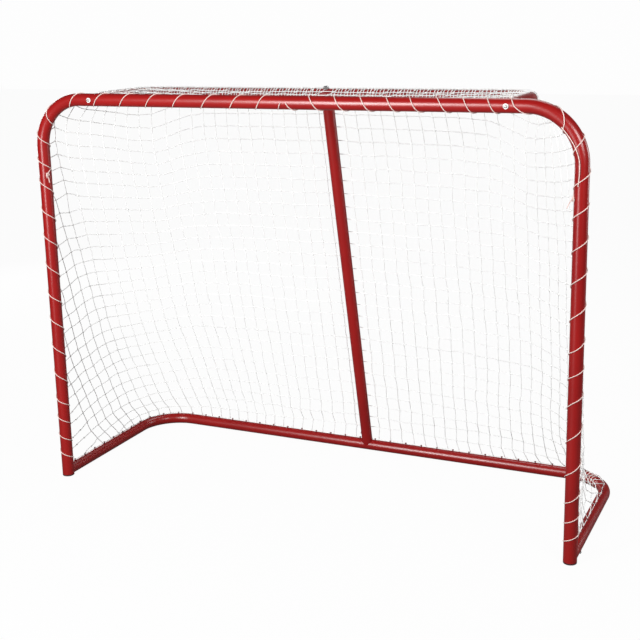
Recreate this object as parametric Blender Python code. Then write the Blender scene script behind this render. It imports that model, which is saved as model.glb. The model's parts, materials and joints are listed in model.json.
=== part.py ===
"""A street hockey goal: a bolted steel tube frame with a net laced to it.

Metres, +Z up. The origin lies on the floor under the middle of the goal's box.
+Y points from the goal mouth to the back, and +X to the right seen from in front.
"""
import math

import bmesh
import bpy
import numpy as np
from mathutils import Matrix, Vector

# Overall sizes of the steel frame
OUTER_WIDTH = 1.524
OUTER_HEIGHT = 1.118
OUTER_DEPTH = 0.550
TOP_DEPTH = 0.263  # from the crossbar's axis to the rear top bar's
ARM_X = 0.571  # the rear top bar's arms, and the bolts that hold them

# Tubes, and the radii that their axes are bent to
FRONT_TUBE = 0.034
BASE_TUBE = 0.032
WALL = 0.0015
FRONT_BEND = 0.130
BASE_BEND = 0.120
TOP_BEND = 0.070

# Joints between the tubes
GAP = 0.0003  # between pieces that touch
SEAM = 0.0006  # between two nets that meet edge to edge
SLIP = 0.0004  # round a piece that slides into a tube
SLEEVE_LENGTH = 0.160
SLEEVE_WALL = 0.0015
SPIGOT_LENGTH = 0.060
SPIGOT_WALL = 0.002
BASE_SEAM_X = 0.020  # the back bar's halves meet beside the centre tube
CROSSBAR_SCREW_X = 0.050
BASE_SCREW_REACH = 0.045  # from the seam to each screw
FOOT_SCREW_REACH = 0.048  # from the post's axis
CENTRE_SCREW_REACH = 0.040  # from the back bar's axis
LOW_SCREW_TILT = math.radians(-25)  # below level, clear of the net and the floor

# Fasteners
SCREW_SHANK = 0.004
SCREW_HEAD = 0.008
SCREW_HEAD_HEIGHT = 0.0026
SCREW_LENGTH = 0.010
HOLE_SLACK = 0.0004  # round a shank
TOP_BOLT_SHANK = 0.005
TOP_BOLT_HEAD = 0.0085
TOP_BOLT_HEAD_HEIGHT = 0.0030
TOP_BOLT_LENGTH = 0.052
TOP_WASHER = 0.013
TOP_WASHER_THICKNESS = 0.002
CENTRE_BOLT_SHANK = 0.008
CENTRE_BOLT_FLATS = 0.013
CENTRE_BOLT_HEAD_HEIGHT = 0.0053
CENTRE_BOLT_LENGTH = 0.056
CENTRE_WASHER = 0.017
CENTRE_WASHER_THICKNESS = 0.0016
INSERT_LENGTH = 0.020
INSERT_SETBACK = 0.008  # from the bar that the tube butts on to its insert

# Feet
PLUG_RIM = 0.005
PLUG_DEPTH = 0.025
PLUG_ROUND = 0.0015

# Lacing cord
CORD = 0.0025
CORD_START = 0.070  # height of the first turn
FOOT_PITCH = 0.055
FOOT_TURNS = 3
POST_PITCH = 0.078
KNOT_HEIGHT = 0.890  # where the post's cord ends and the crossbar's begins
KNOT_SPACE = 0.020
CROSSBAR_PITCH = 0.075
CORD_PAST_BOLT = 0.015  # from a bolt to the turn that crosses in front beside it
CORD_END = 0.008  # from the goal's middle
CORD_POINTS = 8  # in each turn

# Net, as a grid of coarse meshes
STRAND = 0.003
BACK_COLUMNS = 4  # from each rear bend to the middle
SIDE_COLUMNS = 3  # from the front frame to each rear bend
POST_ROWS = 6  # up to the front frame's bends
ROOF_MESHES = (9, 2)
ROOF_TILT = math.radians(60)  # forward off the rear top bar's top, clear of the centre bolt

# Smoothness
SIDES = 16
SMALL_SIDES = 12
CUTTER_SIDES = 32
BEND_STEPS = 6  # an even number, as the nets meet at the middle of each rear bend

# Worked out from the sizes above
FRONT_R = FRONT_TUBE / 2
BASE_R = BASE_TUBE / 2
POST_X = OUTER_WIDTH / 2 - FRONT_R
BAR_Z = OUTER_HEIGHT - FRONT_R
CORD_R = CORD / 2
CORD_RING = (FRONT_R + GAP + CORD_R) / math.cos(math.pi / CORD_POINTS)
CORD_REACH = CORD_RING + CORD_R
LACED = CORD_REACH + GAP  # nearest that the net comes to a laced tube's axis
HUNG = BASE_R + GAP + STRAND / 2  # middle of a net that hangs on a base tube
FRONT_REACH = FRONT_R + TOP_WASHER_THICKNESS + 2 * GAP + TOP_BOLT_HEAD_HEIGHT
AXIS_DEPTH = OUTER_DEPTH - FRONT_R - BASE_R
FALL = BAR_Z - BASE_R  # of the centre tube, axis to axis
LEAN = math.atan2(AXIS_DEPTH - TOP_DEPTH, FALL)  # of the centre tube and back net
BACK_REACH = HUNG * math.cos(LEAN) + STRAND / 2
FRONT_Y = FRONT_REACH - (FRONT_REACH + AXIS_DEPTH + BACK_REACH) / 2
BACK_Y = FRONT_Y + AXIS_DEPTH
REAR_BAR = Vector((0, FRONT_Y + TOP_DEPTH, BAR_Z))
BACK_BAR = Vector((0, BACK_Y, BASE_R))

NET_CORNER = SIDE_COLUMNS + BEND_STEPS // 2  # where a side net meets the back net, along its edge

X = Vector((1, 0, 0))
Y = Vector((0, 1, 0))
Z = Vector((0, 0, 1))
SIDE_NAMES = {-1: "left", 1: "right"}


def material(name, colour, roughness, metallic=0.0):
    made = bpy.data.materials.new(name)
    made.use_nodes = True
    shader = made.node_tree.nodes["Principled BSDF"]
    shader.inputs["Base Color"].default_value = (*colour, 1)
    shader.inputs["Roughness"].default_value = roughness
    shader.inputs["Metallic"].default_value = metallic
    return made


def add(name, data, finish):
    """Puts a mesh or curve in the scene as one sub-part of the goal."""
    colour, roughness, metallic = finish
    data.materials.append(material(name, colour, roughness, metallic))
    piece = bpy.data.objects.new(name, data)
    piece.parent = bpy.data.objects["goal"]
    bpy.context.collection.objects.link(piece)
    return piece


def mesh_of(name, bm):
    bmesh.ops.recalc_face_normals(bm, faces=bm.faces[:])
    mesh = bpy.data.meshes.new(name)
    bm.to_mesh(mesh)
    bm.free()
    mesh.shade_smooth()
    mesh.set_sharp_from_angle(angle=math.radians(40))
    return mesh


def round_shape(angle):
    return 1.0


def hexagon(angle):
    """A hexagon's radius at an angle, where half its width over flats is 1."""
    return 1 / math.cos((angle + math.pi / 6) % (math.pi / 3) - math.pi / 6)


def directions(line):
    """The way the line runs at each of its points."""
    steps = [(b - a).normalized() for a, b in zip(line, line[1:])]
    middle = [(a + b).normalized() for a, b in zip(steps, steps[1:])]
    return [steps[0], *middle, steps[-1]]


def ring(bm, centre, way, up, radius, sides, shape=round_shape):
    """A closed loop of corners round a centre, square to the way and with one corner at up."""
    side = way.cross(up).normalized()
    top = side.cross(way)
    made = []
    for i in range(sides):
        angle = 2 * math.pi * i / sides
        reach = radius * shape(angle)
        place = centre + reach * (math.cos(angle) * top + math.sin(angle) * side)
        made.append(bm.verts.new(place))
    return made


def wall(bm, first, second):
    """Faces between two rings with as many corners."""
    for i in range(len(first)):
        bm.faces.new((first[i - 1], first[i], second[i], second[i - 1]))


def pipe(name, line, up, outer, inner, finish, sides=SIDES):
    """A tube with open ends along a line that lies in one plane, with up square to it."""
    bm = bmesh.new()
    shells = []
    for radius in (outer, inner):
        rings = [ring(bm, p, way, up, radius, sides) for p, way in zip(line, directions(line))]
        for first, second in zip(rings, rings[1:]):
            wall(bm, first, second)
        shells.append(rings)
    wall(bm, shells[0][0], shells[1][0])
    wall(bm, shells[0][-1], shells[1][-1])
    return add(name, mesh_of(name, bm), finish)


def turned(name, start, way, up, profile, finish, sides=SIDES):
    """A solid turned about an axis. The profile holds (distance, radius) or (distance, radius, shape)."""
    bm = bmesh.new()
    rings = [
        ring(bm, start + way * row[0], way, up, row[1], sides, *row[2:]) for row in profile
    ]
    for first, second in zip(rings, rings[1:]):
        wall(bm, first, second)
    bm.faces.new(rings[0])
    bm.faces.new(rings[-1])
    return add(name, mesh_of(name, bm), finish)


def cutter(name, start, end, up, radius):
    """A cylinder that holds the whole round of that radius, for cutting only."""
    bm = bmesh.new()
    way = (end - start).normalized()
    full = radius / math.cos(math.pi / CUTTER_SIDES)
    ends = [ring(bm, p, way, up, full, CUTTER_SIDES) for p in (start, end)]
    wall(bm, *ends)
    for loop in ends:
        bm.faces.new(loop)
    bmesh.ops.recalc_face_normals(bm, faces=bm.faces[:])
    mesh = bpy.data.meshes.new(name)
    bm.to_mesh(mesh)
    bm.free()
    tool = bpy.data.objects.new(name, mesh)
    tool.hide_render = True
    tool.display_type = "WIRE"
    bpy.context.collection.objects.link(tool)
    return tool


def cut(piece, tool):
    change = piece.modifiers.new(tool.name, "BOOLEAN")
    change.operation = "DIFFERENCE"
    change.solver = "EXACT"
    change.object = tool


def rounded(corners, radius, steps=BEND_STEPS):
    """The line through the corners, with each inner corner turned as an arc."""
    line = [corners[0]]
    for before, corner, after in zip(corners, corners[1:], corners[2:]):
        back, ahead = (before - corner).normalized(), (after - corner).normalized()
        angle = back.angle(ahead)
        reach = radius / math.tan(angle / 2)
        centre = corner + (back + ahead).normalized() * radius / math.sin(angle / 2)
        first = corner + back * reach - centre
        axis = first.cross(corner + ahead * reach - centre)
        for i in range(steps + 1):
            turn = Matrix.Rotation((math.pi - angle) * i / steps, 3, axis)
            line.append(centre + turn @ first)
    line.append(corners[-1])
    return line


def screw(name, seat, out, up, finish):
    """A pan head screw whose head rests at the seat and whose shank runs inwards."""
    head, shank = SCREW_HEAD / 2, SCREW_SHANK / 2
    profile = [
        (0, 0.7 * head),
        (0.3 * SCREW_HEAD_HEIGHT, 0.95 * head),
        (SCREW_HEAD_HEIGHT, head),
        (SCREW_HEAD_HEIGHT, shank),
        (SCREW_HEAD_HEIGHT + SCREW_LENGTH, shank),
    ]
    return turned(name, seat + out * SCREW_HEAD_HEIGHT, -out, up, profile, finish, SMALL_SIDES)


def screw_joint(name, axis_point, out, up, tube_r, tubes, finish):
    """A screw through the wall of a tube and the sleeve inside it, with holes in both."""
    seat = axis_point + out * (tube_r + GAP)
    inside = axis_point + out * (tube_r - WALL - SCREW_LENGTH)
    hole = cutter("cutter_" + name, inside, seat + out * SCREW_HEAD, up, SCREW_SHANK / 2 + HOLE_SLACK)
    for tube in tubes:
        cut(tube, hole)
    return screw(name, seat, out, up, finish)


def front_frame(pieces, sign):
    """One half of the front frame: a post, its top bend and half the crossbar."""
    side = SIDE_NAMES[sign]
    corners = [
        Vector((sign * POST_X, FRONT_Y, PLUG_RIM)),
        Vector((sign * POST_X, FRONT_Y, BAR_Z)),
        Vector((sign * GAP / 2, FRONT_Y, BAR_Z)),
    ]
    line = rounded(corners, FRONT_BEND)
    name = side + "_post_and_crossbar"
    pieces[name] = pipe(name, line, Y, FRONT_R, FRONT_R - WALL, RED)

    rim, body = FRONT_R, FRONT_R - WALL - SLIP
    plug = [
        (0, rim - PLUG_ROUND),
        (PLUG_ROUND, rim),
        (PLUG_RIM - GAP, rim),
        (PLUG_RIM - GAP, body),
        (PLUG_DEPTH, body),
    ]
    name = side + "_foot_plug"
    floor_point = Vector((sign * POST_X, FRONT_Y, 0))
    pieces[name] = turned(name, floor_point, Z, Y, plug, PLUG_BLACK)


def crossbar_joint(pieces):
    """The sleeve inside the crossbar's middle, with a screw from behind on each side."""
    reach = X * SLEEVE_LENGTH / 2
    middle = Vector((0, FRONT_Y, BAR_Z))
    outer = FRONT_R - WALL - SLIP
    sleeve = pipe(
        "crossbar_sleeve",
        [middle - reach, middle + reach],
        Y,
        outer,
        outer - SLEEVE_WALL,
        BARE_STEEL,
        SMALL_SIDES,
    )
    pieces["crossbar_sleeve"] = sleeve
    # each screw sits behind a turn of cord that crosses in front
    from_bolt = ARM_X - CORD_PAST_BOLT
    turns = round((from_bolt - CROSSBAR_SCREW_X) / CROSSBAR_PITCH)
    screw_x = from_bolt - turns * CROSSBAR_PITCH
    for sign, side in SIDE_NAMES.items():
        name = side + "_crossbar_screw"
        tubes = [pieces[side + "_post_and_crossbar"], sleeve]
        place = middle + X * sign * screw_x
        pieces[name] = screw_joint(name, place, Y, Z, FRONT_R, tubes, BARE_STEEL)


def base_frame(pieces, sign, coping):
    """One half of the base: a side rail, the rear bend and its part of the back bar."""
    side = SIDE_NAMES[sign]
    corners = [
        Vector((sign * POST_X, FRONT_Y, BASE_R)),
        Vector((sign * POST_X, BACK_Y, BASE_R)),
        Vector((BASE_SEAM_X + sign * GAP / 2, BACK_Y, BASE_R)),
    ]
    line = rounded(corners, BASE_BEND)
    name = side + "_base_tube"
    tube = pipe(name, line, Z, BASE_R, BASE_R - WALL, RED)
    cut(tube, coping)
    pieces[name] = tube

    outer = BASE_R - WALL - SLIP
    foot = corners[0]
    name = side + "_foot_spigot"
    ends = [foot, foot + Y * SPIGOT_LENGTH]
    spigot = pipe(name, ends, Z, outer, outer - SPIGOT_WALL, BARE_STEEL, SMALL_SIDES)
    cut(spigot, coping)
    pieces[name] = spigot
    out = X * sign * math.cos(LOW_SCREW_TILT) + Z * math.sin(LOW_SCREW_TILT)
    place = foot + Y * FOOT_SCREW_REACH
    name = side + "_foot_screw"
    pieces[name] = screw_joint(name, place, out, Y, BASE_R, [tube, spigot], BARE_STEEL)


def base_joint(pieces):
    """The sleeve inside the back bar's seam, with a low screw from behind on each side."""
    seam = Vector((BASE_SEAM_X, BACK_Y, BASE_R))
    reach = X * SLEEVE_LENGTH / 2
    outer = BASE_R - WALL - SLIP
    ends = [seam - reach, seam + reach]
    sleeve = pipe("base_sleeve", ends, Y, outer, outer - SLEEVE_WALL, BARE_STEEL, SMALL_SIDES)
    pieces["base_sleeve"] = sleeve
    out = Y * math.cos(LOW_SCREW_TILT) + Z * math.sin(LOW_SCREW_TILT)
    for sign, side in SIDE_NAMES.items():
        name = side + "_base_screw"
        tubes = [pieces[side + "_base_tube"], sleeve]
        place = seam + X * sign * BASE_SCREW_REACH
        pieces[name] = screw_joint(name, place, out, X, BASE_R, tubes, BARE_STEEL)


def top_line():
    """The axis of the rear top bar, from the left arm's front end to the right arm's."""
    corners = [
        Vector((-ARM_X, FRONT_Y, BAR_Z)),
        REAR_BAR - X * ARM_X,
        REAR_BAR + X * ARM_X,
        Vector((ARM_X, FRONT_Y, BAR_Z)),
    ]
    return rounded(corners, TOP_BEND)


def rear_top_bar(pieces):
    """The shallow U of tube behind the crossbar, with a bolt through the crossbar into each arm."""
    bar = pipe("rear_top_bar", top_line(), Z, BASE_R, BASE_R - WALL, RED)
    reach = X * (ARM_X + FRONT_TUBE)
    middle = Vector((0, FRONT_Y, BAR_Z))
    cut(bar, cutter("cutter_crossbar_seat", middle - reach, middle + reach, Z, FRONT_R + GAP))
    pieces["rear_top_bar"] = bar
    for sign, side in SIDE_NAMES.items():
        centre = middle + X * sign * ARM_X
        hole = cutter(
            "cutter_" + side + "_top_bolt",
            centre - Y * FRONT_TUBE,
            centre + Y * FRONT_TUBE,
            Z,
            TOP_BOLT_SHANK / 2 + HOLE_SLACK,
        )
        cut(pieces[side + "_post_and_crossbar"], hole)
        seat = centre - Y * (FRONT_R + GAP)
        washer_top = seat - Y * TOP_WASHER_THICKNESS
        name = side + "_top_washer"
        inner = TOP_BOLT_SHANK / 2 + HOLE_SLACK
        ends = [washer_top, seat]
        pieces[name] = pipe(name, ends, Z, TOP_WASHER / 2, inner, WASHER_WHITE, SMALL_SIDES)
        head, shank = TOP_BOLT_HEAD / 2, TOP_BOLT_SHANK / 2
        profile = [
            (0, 0.55 * head),
            (0.35 * TOP_BOLT_HEAD_HEIGHT, 0.85 * head),
            (TOP_BOLT_HEAD_HEIGHT, head),
            (TOP_BOLT_HEAD_HEIGHT, shank),
            (TOP_BOLT_HEAD_HEIGHT + TOP_BOLT_LENGTH, shank),
        ]
        start = washer_top - Y * (GAP + TOP_BOLT_HEAD_HEIGHT)
        name = side + "_top_bolt"
        pieces[name] = turned(name, start, Y, Z, profile, BARE_STEEL, SMALL_SIDES)
        name = side + "_arm_insert"
        first = centre + Y * (FRONT_R + INSERT_SETBACK)
        pieces[name] = insert(name, first, Y, TOP_BOLT_SHANK)


def insert(name, start, way, shank):
    """The threaded plug pressed into a tube's end."""
    outer = BASE_R - WALL - SLIP
    ends = [start, start + way * INSERT_LENGTH]
    return pipe(name, ends, X, outer, shank / 2 + HOLE_SLACK, BARE_STEEL, SMALL_SIDES)


def centre_tube(pieces):
    """The tube from the rear top bar down to the back bar, bolted above and screwed below."""
    down = (BACK_BAR - REAR_BAR).normalized()
    tube = pipe("centre_tube", [REAR_BAR, BACK_BAR], X, BASE_R, BASE_R - WALL, RED)
    pieces["centre_tube"] = tube
    reach = X * BASE_TUBE
    for name, bar in (("cutter_tube_top", REAR_BAR), ("cutter_tube_foot", BACK_BAR)):
        coping = cutter(name, bar - reach, bar + reach, Z, BASE_R + GAP)
        cut(tube, coping)
    foot_coping = coping

    hole = cutter(
        "cutter_centre_bolt",
        REAR_BAR - down * BASE_TUBE,
        REAR_BAR + down * BASE_TUBE,
        X,
        CENTRE_BOLT_SHANK / 2 + HOLE_SLACK,
    )
    cut(pieces["rear_top_bar"], hole)
    seat = REAR_BAR - down * (BASE_R + GAP)
    washer_top = seat - down * CENTRE_WASHER_THICKNESS
    inner = CENTRE_BOLT_SHANK / 2 + HOLE_SLACK
    pieces["centre_bolt_washer"] = pipe(
        "centre_bolt_washer", [washer_top, seat], X, CENTRE_WASHER / 2, inner, BARE_STEEL, SMALL_SIDES
    )
    flats, shank = CENTRE_BOLT_FLATS / 2, CENTRE_BOLT_SHANK / 2
    profile = [
        (0, 0.92 * flats),
        (0.2 * CENTRE_BOLT_HEAD_HEIGHT, flats, hexagon),
        (CENTRE_BOLT_HEAD_HEIGHT, flats, hexagon),
        (CENTRE_BOLT_HEAD_HEIGHT, shank),
        (CENTRE_BOLT_HEAD_HEIGHT + CENTRE_BOLT_LENGTH, shank),
    ]
    start = washer_top - down * (GAP + CENTRE_BOLT_HEAD_HEIGHT)
    pieces["centre_bolt"] = turned("centre_bolt", start, down, X, profile, BARE_STEEL, SMALL_SIDES)
    first = REAR_BAR + down * (BASE_R + INSERT_SETBACK)
    pieces["centre_tube_insert"] = insert("centre_tube_insert", first, down, CENTRE_BOLT_SHANK)

    outer = BASE_R - WALL - SLIP
    ends = [BACK_BAR - down * SPIGOT_LENGTH, BACK_BAR]
    spigot = pipe("centre_spigot", ends, X, outer, outer - SPIGOT_WALL, BARE_STEEL, SMALL_SIDES)
    cut(spigot, foot_coping)
    pieces["centre_spigot"] = spigot
    place = BACK_BAR - down * CENTRE_SCREW_REACH
    pieces["centre_screw"] = screw_joint(
        "centre_screw", place, -X, Y, BASE_R, [tube, spigot], BARE_STEEL
    )


def front_place(distance):
    """A place on the right half's axis, that far along it from the floor, and the way out of the mouth."""
    straight, bend = BAR_Z - FRONT_BEND, FRONT_BEND * math.pi / 2
    if distance < straight:
        return Vector((POST_X, FRONT_Y, distance)), X
    if distance < straight + bend:
        angle = (distance - straight) / FRONT_BEND
        out = X * math.cos(angle) + Z * math.sin(angle)
        # the tube turns in short straight steps, and the cord and the net follow them
        step = math.pi / 2 / BEND_STEPS
        reach = FRONT_BEND * math.cos(step / 2) / math.cos(angle % step - step / 2)
        return Vector((POST_X - FRONT_BEND, FRONT_Y, straight)) + reach * out, out
    return Vector((POST_X - FRONT_BEND - (distance - straight - bend), FRONT_Y, BAR_Z)), Z


def distance_to(x):
    """How far along the right half's axis, from the floor, the crossbar reaches x."""
    return BAR_Z - FRONT_BEND + FRONT_BEND * math.pi / 2 + POST_X - FRONT_BEND - x


def post_distance(turn):
    """Where the post's cord has made that many turns: they are closer near the foot."""
    if turn < FOOT_TURNS:
        return CORD_START + turn * FOOT_PITCH
    return CORD_START + FOOT_TURNS * FOOT_PITCH + (turn - FOOT_TURNS) * POST_PITCH


def crossbar_distance(turn):
    """Where the crossbar's cord is, counting turns from the one that crosses in front beside the bolt."""
    return distance_to(ARM_X - CORD_PAST_BOLT) + turn * CROSSBAR_PITCH


def least_gap(points, radius):
    """The least space between a cord's turns, measured between points over half a turn apart."""
    places = np.array([tuple(p) for p in points])
    apart = CORD_POINTS // 2 + 1
    best = math.inf
    for i in range(len(places) - apart):
        away = np.linalg.norm(places[i + apart:] - places[i], axis=1)
        best = min(best, float(away.min()))
    return best - 2 * radius


def lacing(name, sign, first, last, distance_at):
    """A cord wound round one half of the front frame, from its first turn to its last."""
    count = math.ceil((last - first) * CORD_POINTS)
    points = []
    for i in range(count + 1):
        turn = first + (last - first) * i / count
        place, out = front_place(distance_at(turn))
        angle = 2 * math.pi * turn
        place = place + CORD_RING * (out * math.sin(angle) - Y * math.cos(angle))
        points.append(Vector((sign * place.x, place.y, place.z)))
    gap = least_gap(points, CORD_R) * 1000
    print(f"{name}: {last - first:.1f} turns, least gap {gap:.1f} mm")
    curve = bpy.data.curves.new(name, "CURVE")
    curve.dimensions = "3D"
    curve.bevel_depth = CORD_R
    curve.bevel_resolution = 0
    curve.use_fill_caps = True
    spline = curve.splines.new("POLY")
    spline.points.add(len(points) - 1)
    for at, place in zip(spline.points, points):
        at.co = (*place, 1)
    return add(name, curve, CORD_WHITE)


def laces(pieces, sign):
    """The post's cord, up to a knot, and the crossbar's from there to the goal's middle."""
    name = SIDE_NAMES[sign] + "_post_lace"
    above = KNOT_HEIGHT - CORD_START - FOOT_TURNS * FOOT_PITCH
    last = FOOT_TURNS + above / POST_PITCH
    pieces[name] = lacing(name, sign, 0, last, post_distance)
    name = SIDE_NAMES[sign] + "_crossbar_lace"
    anchor = crossbar_distance(0)
    first = (KNOT_HEIGHT + KNOT_SPACE - anchor) / CROSSBAR_PITCH
    last = (distance_to(CORD_END) - anchor) / CROSSBAR_PITCH
    pieces[name] = lacing(name, sign, first, last, crossbar_distance)


def net_panel(name, grid, rows, columns):
    """A net of flat strands along the named rows and columns of a grid of points."""
    bm = bmesh.new()
    corners = [[bm.verts.new(p) for p in row] for row in grid]
    openings = []
    for low, high in zip(rows, rows[1:]):
        for left, right in zip(columns, columns[1:]):
            cells = []
            for j in range(low, high):
                for i in range(left, right):
                    a, b = corners[j][i:i + 2], corners[j + 1][i:i + 2]
                    cells.append(bm.faces.new((a[0], a[1], b[1], b[0])))
            openings.append(cells)
    bm.normal_update()
    for cells in openings:
        bmesh.ops.inset_region(bm, faces=cells, thickness=STRAND / 2, use_even_offset=True, use_boundary=True)
        bmesh.ops.delete(bm, geom=cells, context="FACES")
    mesh = bpy.data.meshes.new(name)
    bm.to_mesh(mesh)
    bm.free()
    panel = add(name, mesh, NET_WHITE)
    thick = panel.modifiers.new("strands", "SOLIDIFY")
    thick.thickness = STRAND
    thick.offset = 0
    return panel


def between(a, b, share):
    return a + (b - a) * share


def mirrored(point):
    return Vector((-point.x, point.y, point.z))


def shares(line):
    """How far along a line each of its points is, from 0 to 1."""
    lengths = [(b - a).length for a, b in zip(line, line[1:])]
    return [sum(lengths[:i]) / sum(lengths) for i in range(len(line))]


def net_edge(half, bend, rear, front_tilt):
    """The net's edge along the right half of a U-shaped bar, from its front end to its middle.

    It starts at a tilt off the top of the bar and comes round to the outside by the middle
    of the bend.
    """
    places = []
    for i in range(SIDE_COLUMNS):
        y = between(FRONT_Y, rear.y - bend, i / SIDE_COLUMNS)
        places.append((Vector((half, y, rear.z)), X))
    corner = rear + X * (half - bend) - Y * bend
    for i in range(BEND_STEPS + 1):
        angle = math.pi / 2 * i / BEND_STEPS
        out = X * math.cos(angle) + Y * math.sin(angle)
        places.append((corner + out * bend, out))
    for i in range(1, BACK_COLUMNS + 1):
        places.append((rear + X * (half - bend) * (1 - i / BACK_COLUMNS), Y))
    edge = []
    for i, (place, out) in enumerate(places):
        tilt = between(front_tilt, math.pi / 2 - LEAN, min(1, i / NET_CORNER))
        reach = BASE_R + GAP + STRAND / 2 * math.sin(tilt + LEAN)
        edge.append(place + reach * (out * math.sin(tilt) + Z * math.cos(tilt)))
    return edge


def back_net(pieces, low_edge, high_edge):
    """Hangs straight down behind the rear top bar, the centre tube and the back bar."""
    ends = []
    for edge in (low_edge, high_edge):
        half = edge[NET_CORNER:]
        # the side nets end as close on the other side of the corner
        half[0] = half[0] + (half[1] - half[0]).normalized() * SEAM / 2
        ends.append([mirrored(p) for p in half] + half[-2::-1])
    rows = POST_ROWS + 2
    grid = [[between(a, b, j / rows) for a, b in zip(*ends)] for j in range(rows + 1)]
    columns = [0, *range(BEND_STEPS // 2, len(grid[0]) - BEND_STEPS // 2), len(grid[0]) - 1]
    pieces["back_net"] = net_panel("back_net", grid, range(rows + 1), columns)


def roof_net(pieces):
    """Spans from the crossbar to the rear top bar, between the arms."""
    columns, rows = ROOF_MESHES
    front_half = ARM_X - BASE_R - GAP - STRAND / 2
    rear_half = ARM_X - TOP_BEND
    front = Vector((0, FRONT_Y, BAR_Z)) + LACED * (Y + Z).normalized() + Z * STRAND / 2
    seat = Z * math.cos(ROOF_TILT) - Y * math.sin(ROOF_TILT)
    rear = REAR_BAR + (BASE_R + GAP) * seat + Z * STRAND / 2
    grid = []
    for j in range(rows + 1):
        share = j / rows
        middle, half = between(front, rear, share), between(front_half, rear_half, share)
        grid.append([middle + X * half * (2 * i / columns - 1) for i in range(columns + 1)])
    pieces["roof_net"] = net_panel("roof_net", grid, range(rows + 1), range(columns + 1))


def side_net(pieces, sign, low_edge, high_edge):
    """Goes from behind the front frame back to the rear corners, with the rail and the arm as its edges."""
    straight, bend = BAR_Z - FRONT_BEND, FRONT_BEND * math.pi / 2
    stops = [between(low_edge[0].z, straight, j / POST_ROWS) for j in range(POST_ROWS)]
    stops += [straight + bend * j / BEND_STEPS for j in range(BEND_STEPS + 1)]
    stops.append(distance_to(high_edge[0].x))
    front = []
    for stop in stops:
        place, out = front_place(stop)
        # level strands leave the post end on, and those over the crossbar lie along it
        front.append(place + (Y + out * out.z).normalized() * (LACED + STRAND / 2 * out.z))
    edges = []
    for edge, first in ((low_edge, front[0]), (high_edge, front[-1])):
        line = [first, *edge[1:NET_CORNER + 1]]
        line[-1] = line[-1] + (line[-2] - line[-1]).normalized() * SEAM / 2
        edges.append(line)
    low, high = edges
    across, up = shares(low), shares(front)
    grid = []
    for v, start in zip(up, front):
        # the front frame's curve fades out towards the rear corner
        bulge = start - between(low[0], high[0], v)
        row = [between(a, b, v) + bulge * (1 - u) ** 2 for u, a, b in zip(across, low, high)]
        grid.append([p if sign > 0 else mirrored(p) for p in row])
    rows = [*range(POST_ROWS + 1), POST_ROWS + BEND_STEPS // 2, len(grid) - 1]
    columns = [*range(SIDE_COLUMNS + 1), NET_CORNER]
    name = SIDE_NAMES[sign] + "_side_net"
    pieces[name] = net_panel(name, grid, rows, columns)


# Colour, roughness and metallic value of each finish
RED = ((0.50, 0.022, 0.024), 0.28, 0.0)
BARE_STEEL = ((0.45, 0.45, 0.46), 0.35, 1.0)
WASHER_WHITE = ((0.85, 0.85, 0.84), 0.4, 0.0)
PLUG_BLACK = ((0.03, 0.015, 0.015), 0.6, 0.0)
CORD_WHITE = ((0.90, 0.88, 0.86), 0.75, 0.0)
NET_WHITE = ((0.88, 0.88, 0.88), 0.8, 0.0)


def main():
    for old in list(bpy.data.objects):
        bpy.data.objects.remove(old)
    goal = bpy.data.objects.new("goal", None)
    bpy.context.collection.objects.link(goal)
    pieces = {}
    for sign in SIDE_NAMES:
        front_frame(pieces, sign)
    crossbar_joint(pieces)
    for sign, side in SIDE_NAMES.items():
        post = Vector((sign * POST_X, FRONT_Y, BASE_R))
        coping = cutter(
            "cutter_" + side + "_post_seat",
            post - Z * BASE_TUBE,
            post + Z * BASE_TUBE,
            Y,
            FRONT_R + GAP,
        )
        base_frame(pieces, sign, coping)
    base_joint(pieces)
    rear_top_bar(pieces)
    centre_tube(pieces)
    low_edge = net_edge(POST_X, BASE_BEND, BACK_BAR, 0)
    high_edge = net_edge(ARM_X, TOP_BEND, REAR_BAR, math.pi / 2 - LEAN)
    for sign in SIDE_NAMES:
        laces(pieces, sign)
        side_net(pieces, sign, low_edge, high_edge)
    back_net(pieces, low_edge, high_edge)
    roof_net(pieces)
    print(len(pieces), "pieces")


main()
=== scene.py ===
# %% [markdown]
# # A street hockey goal
#
# The goal is a bolted frame of red powder-coated steel tube with a knotted net laced to it.
# This lesson loads the engineering model as a fixed frame, builds a finer piece over each part that shows,
# and gives every part the finish that the real one has. Lengths are in metres.

import json
import math
import random

import bmesh
import bpy
import numpy as np
from mathutils import Matrix, Vector

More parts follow.
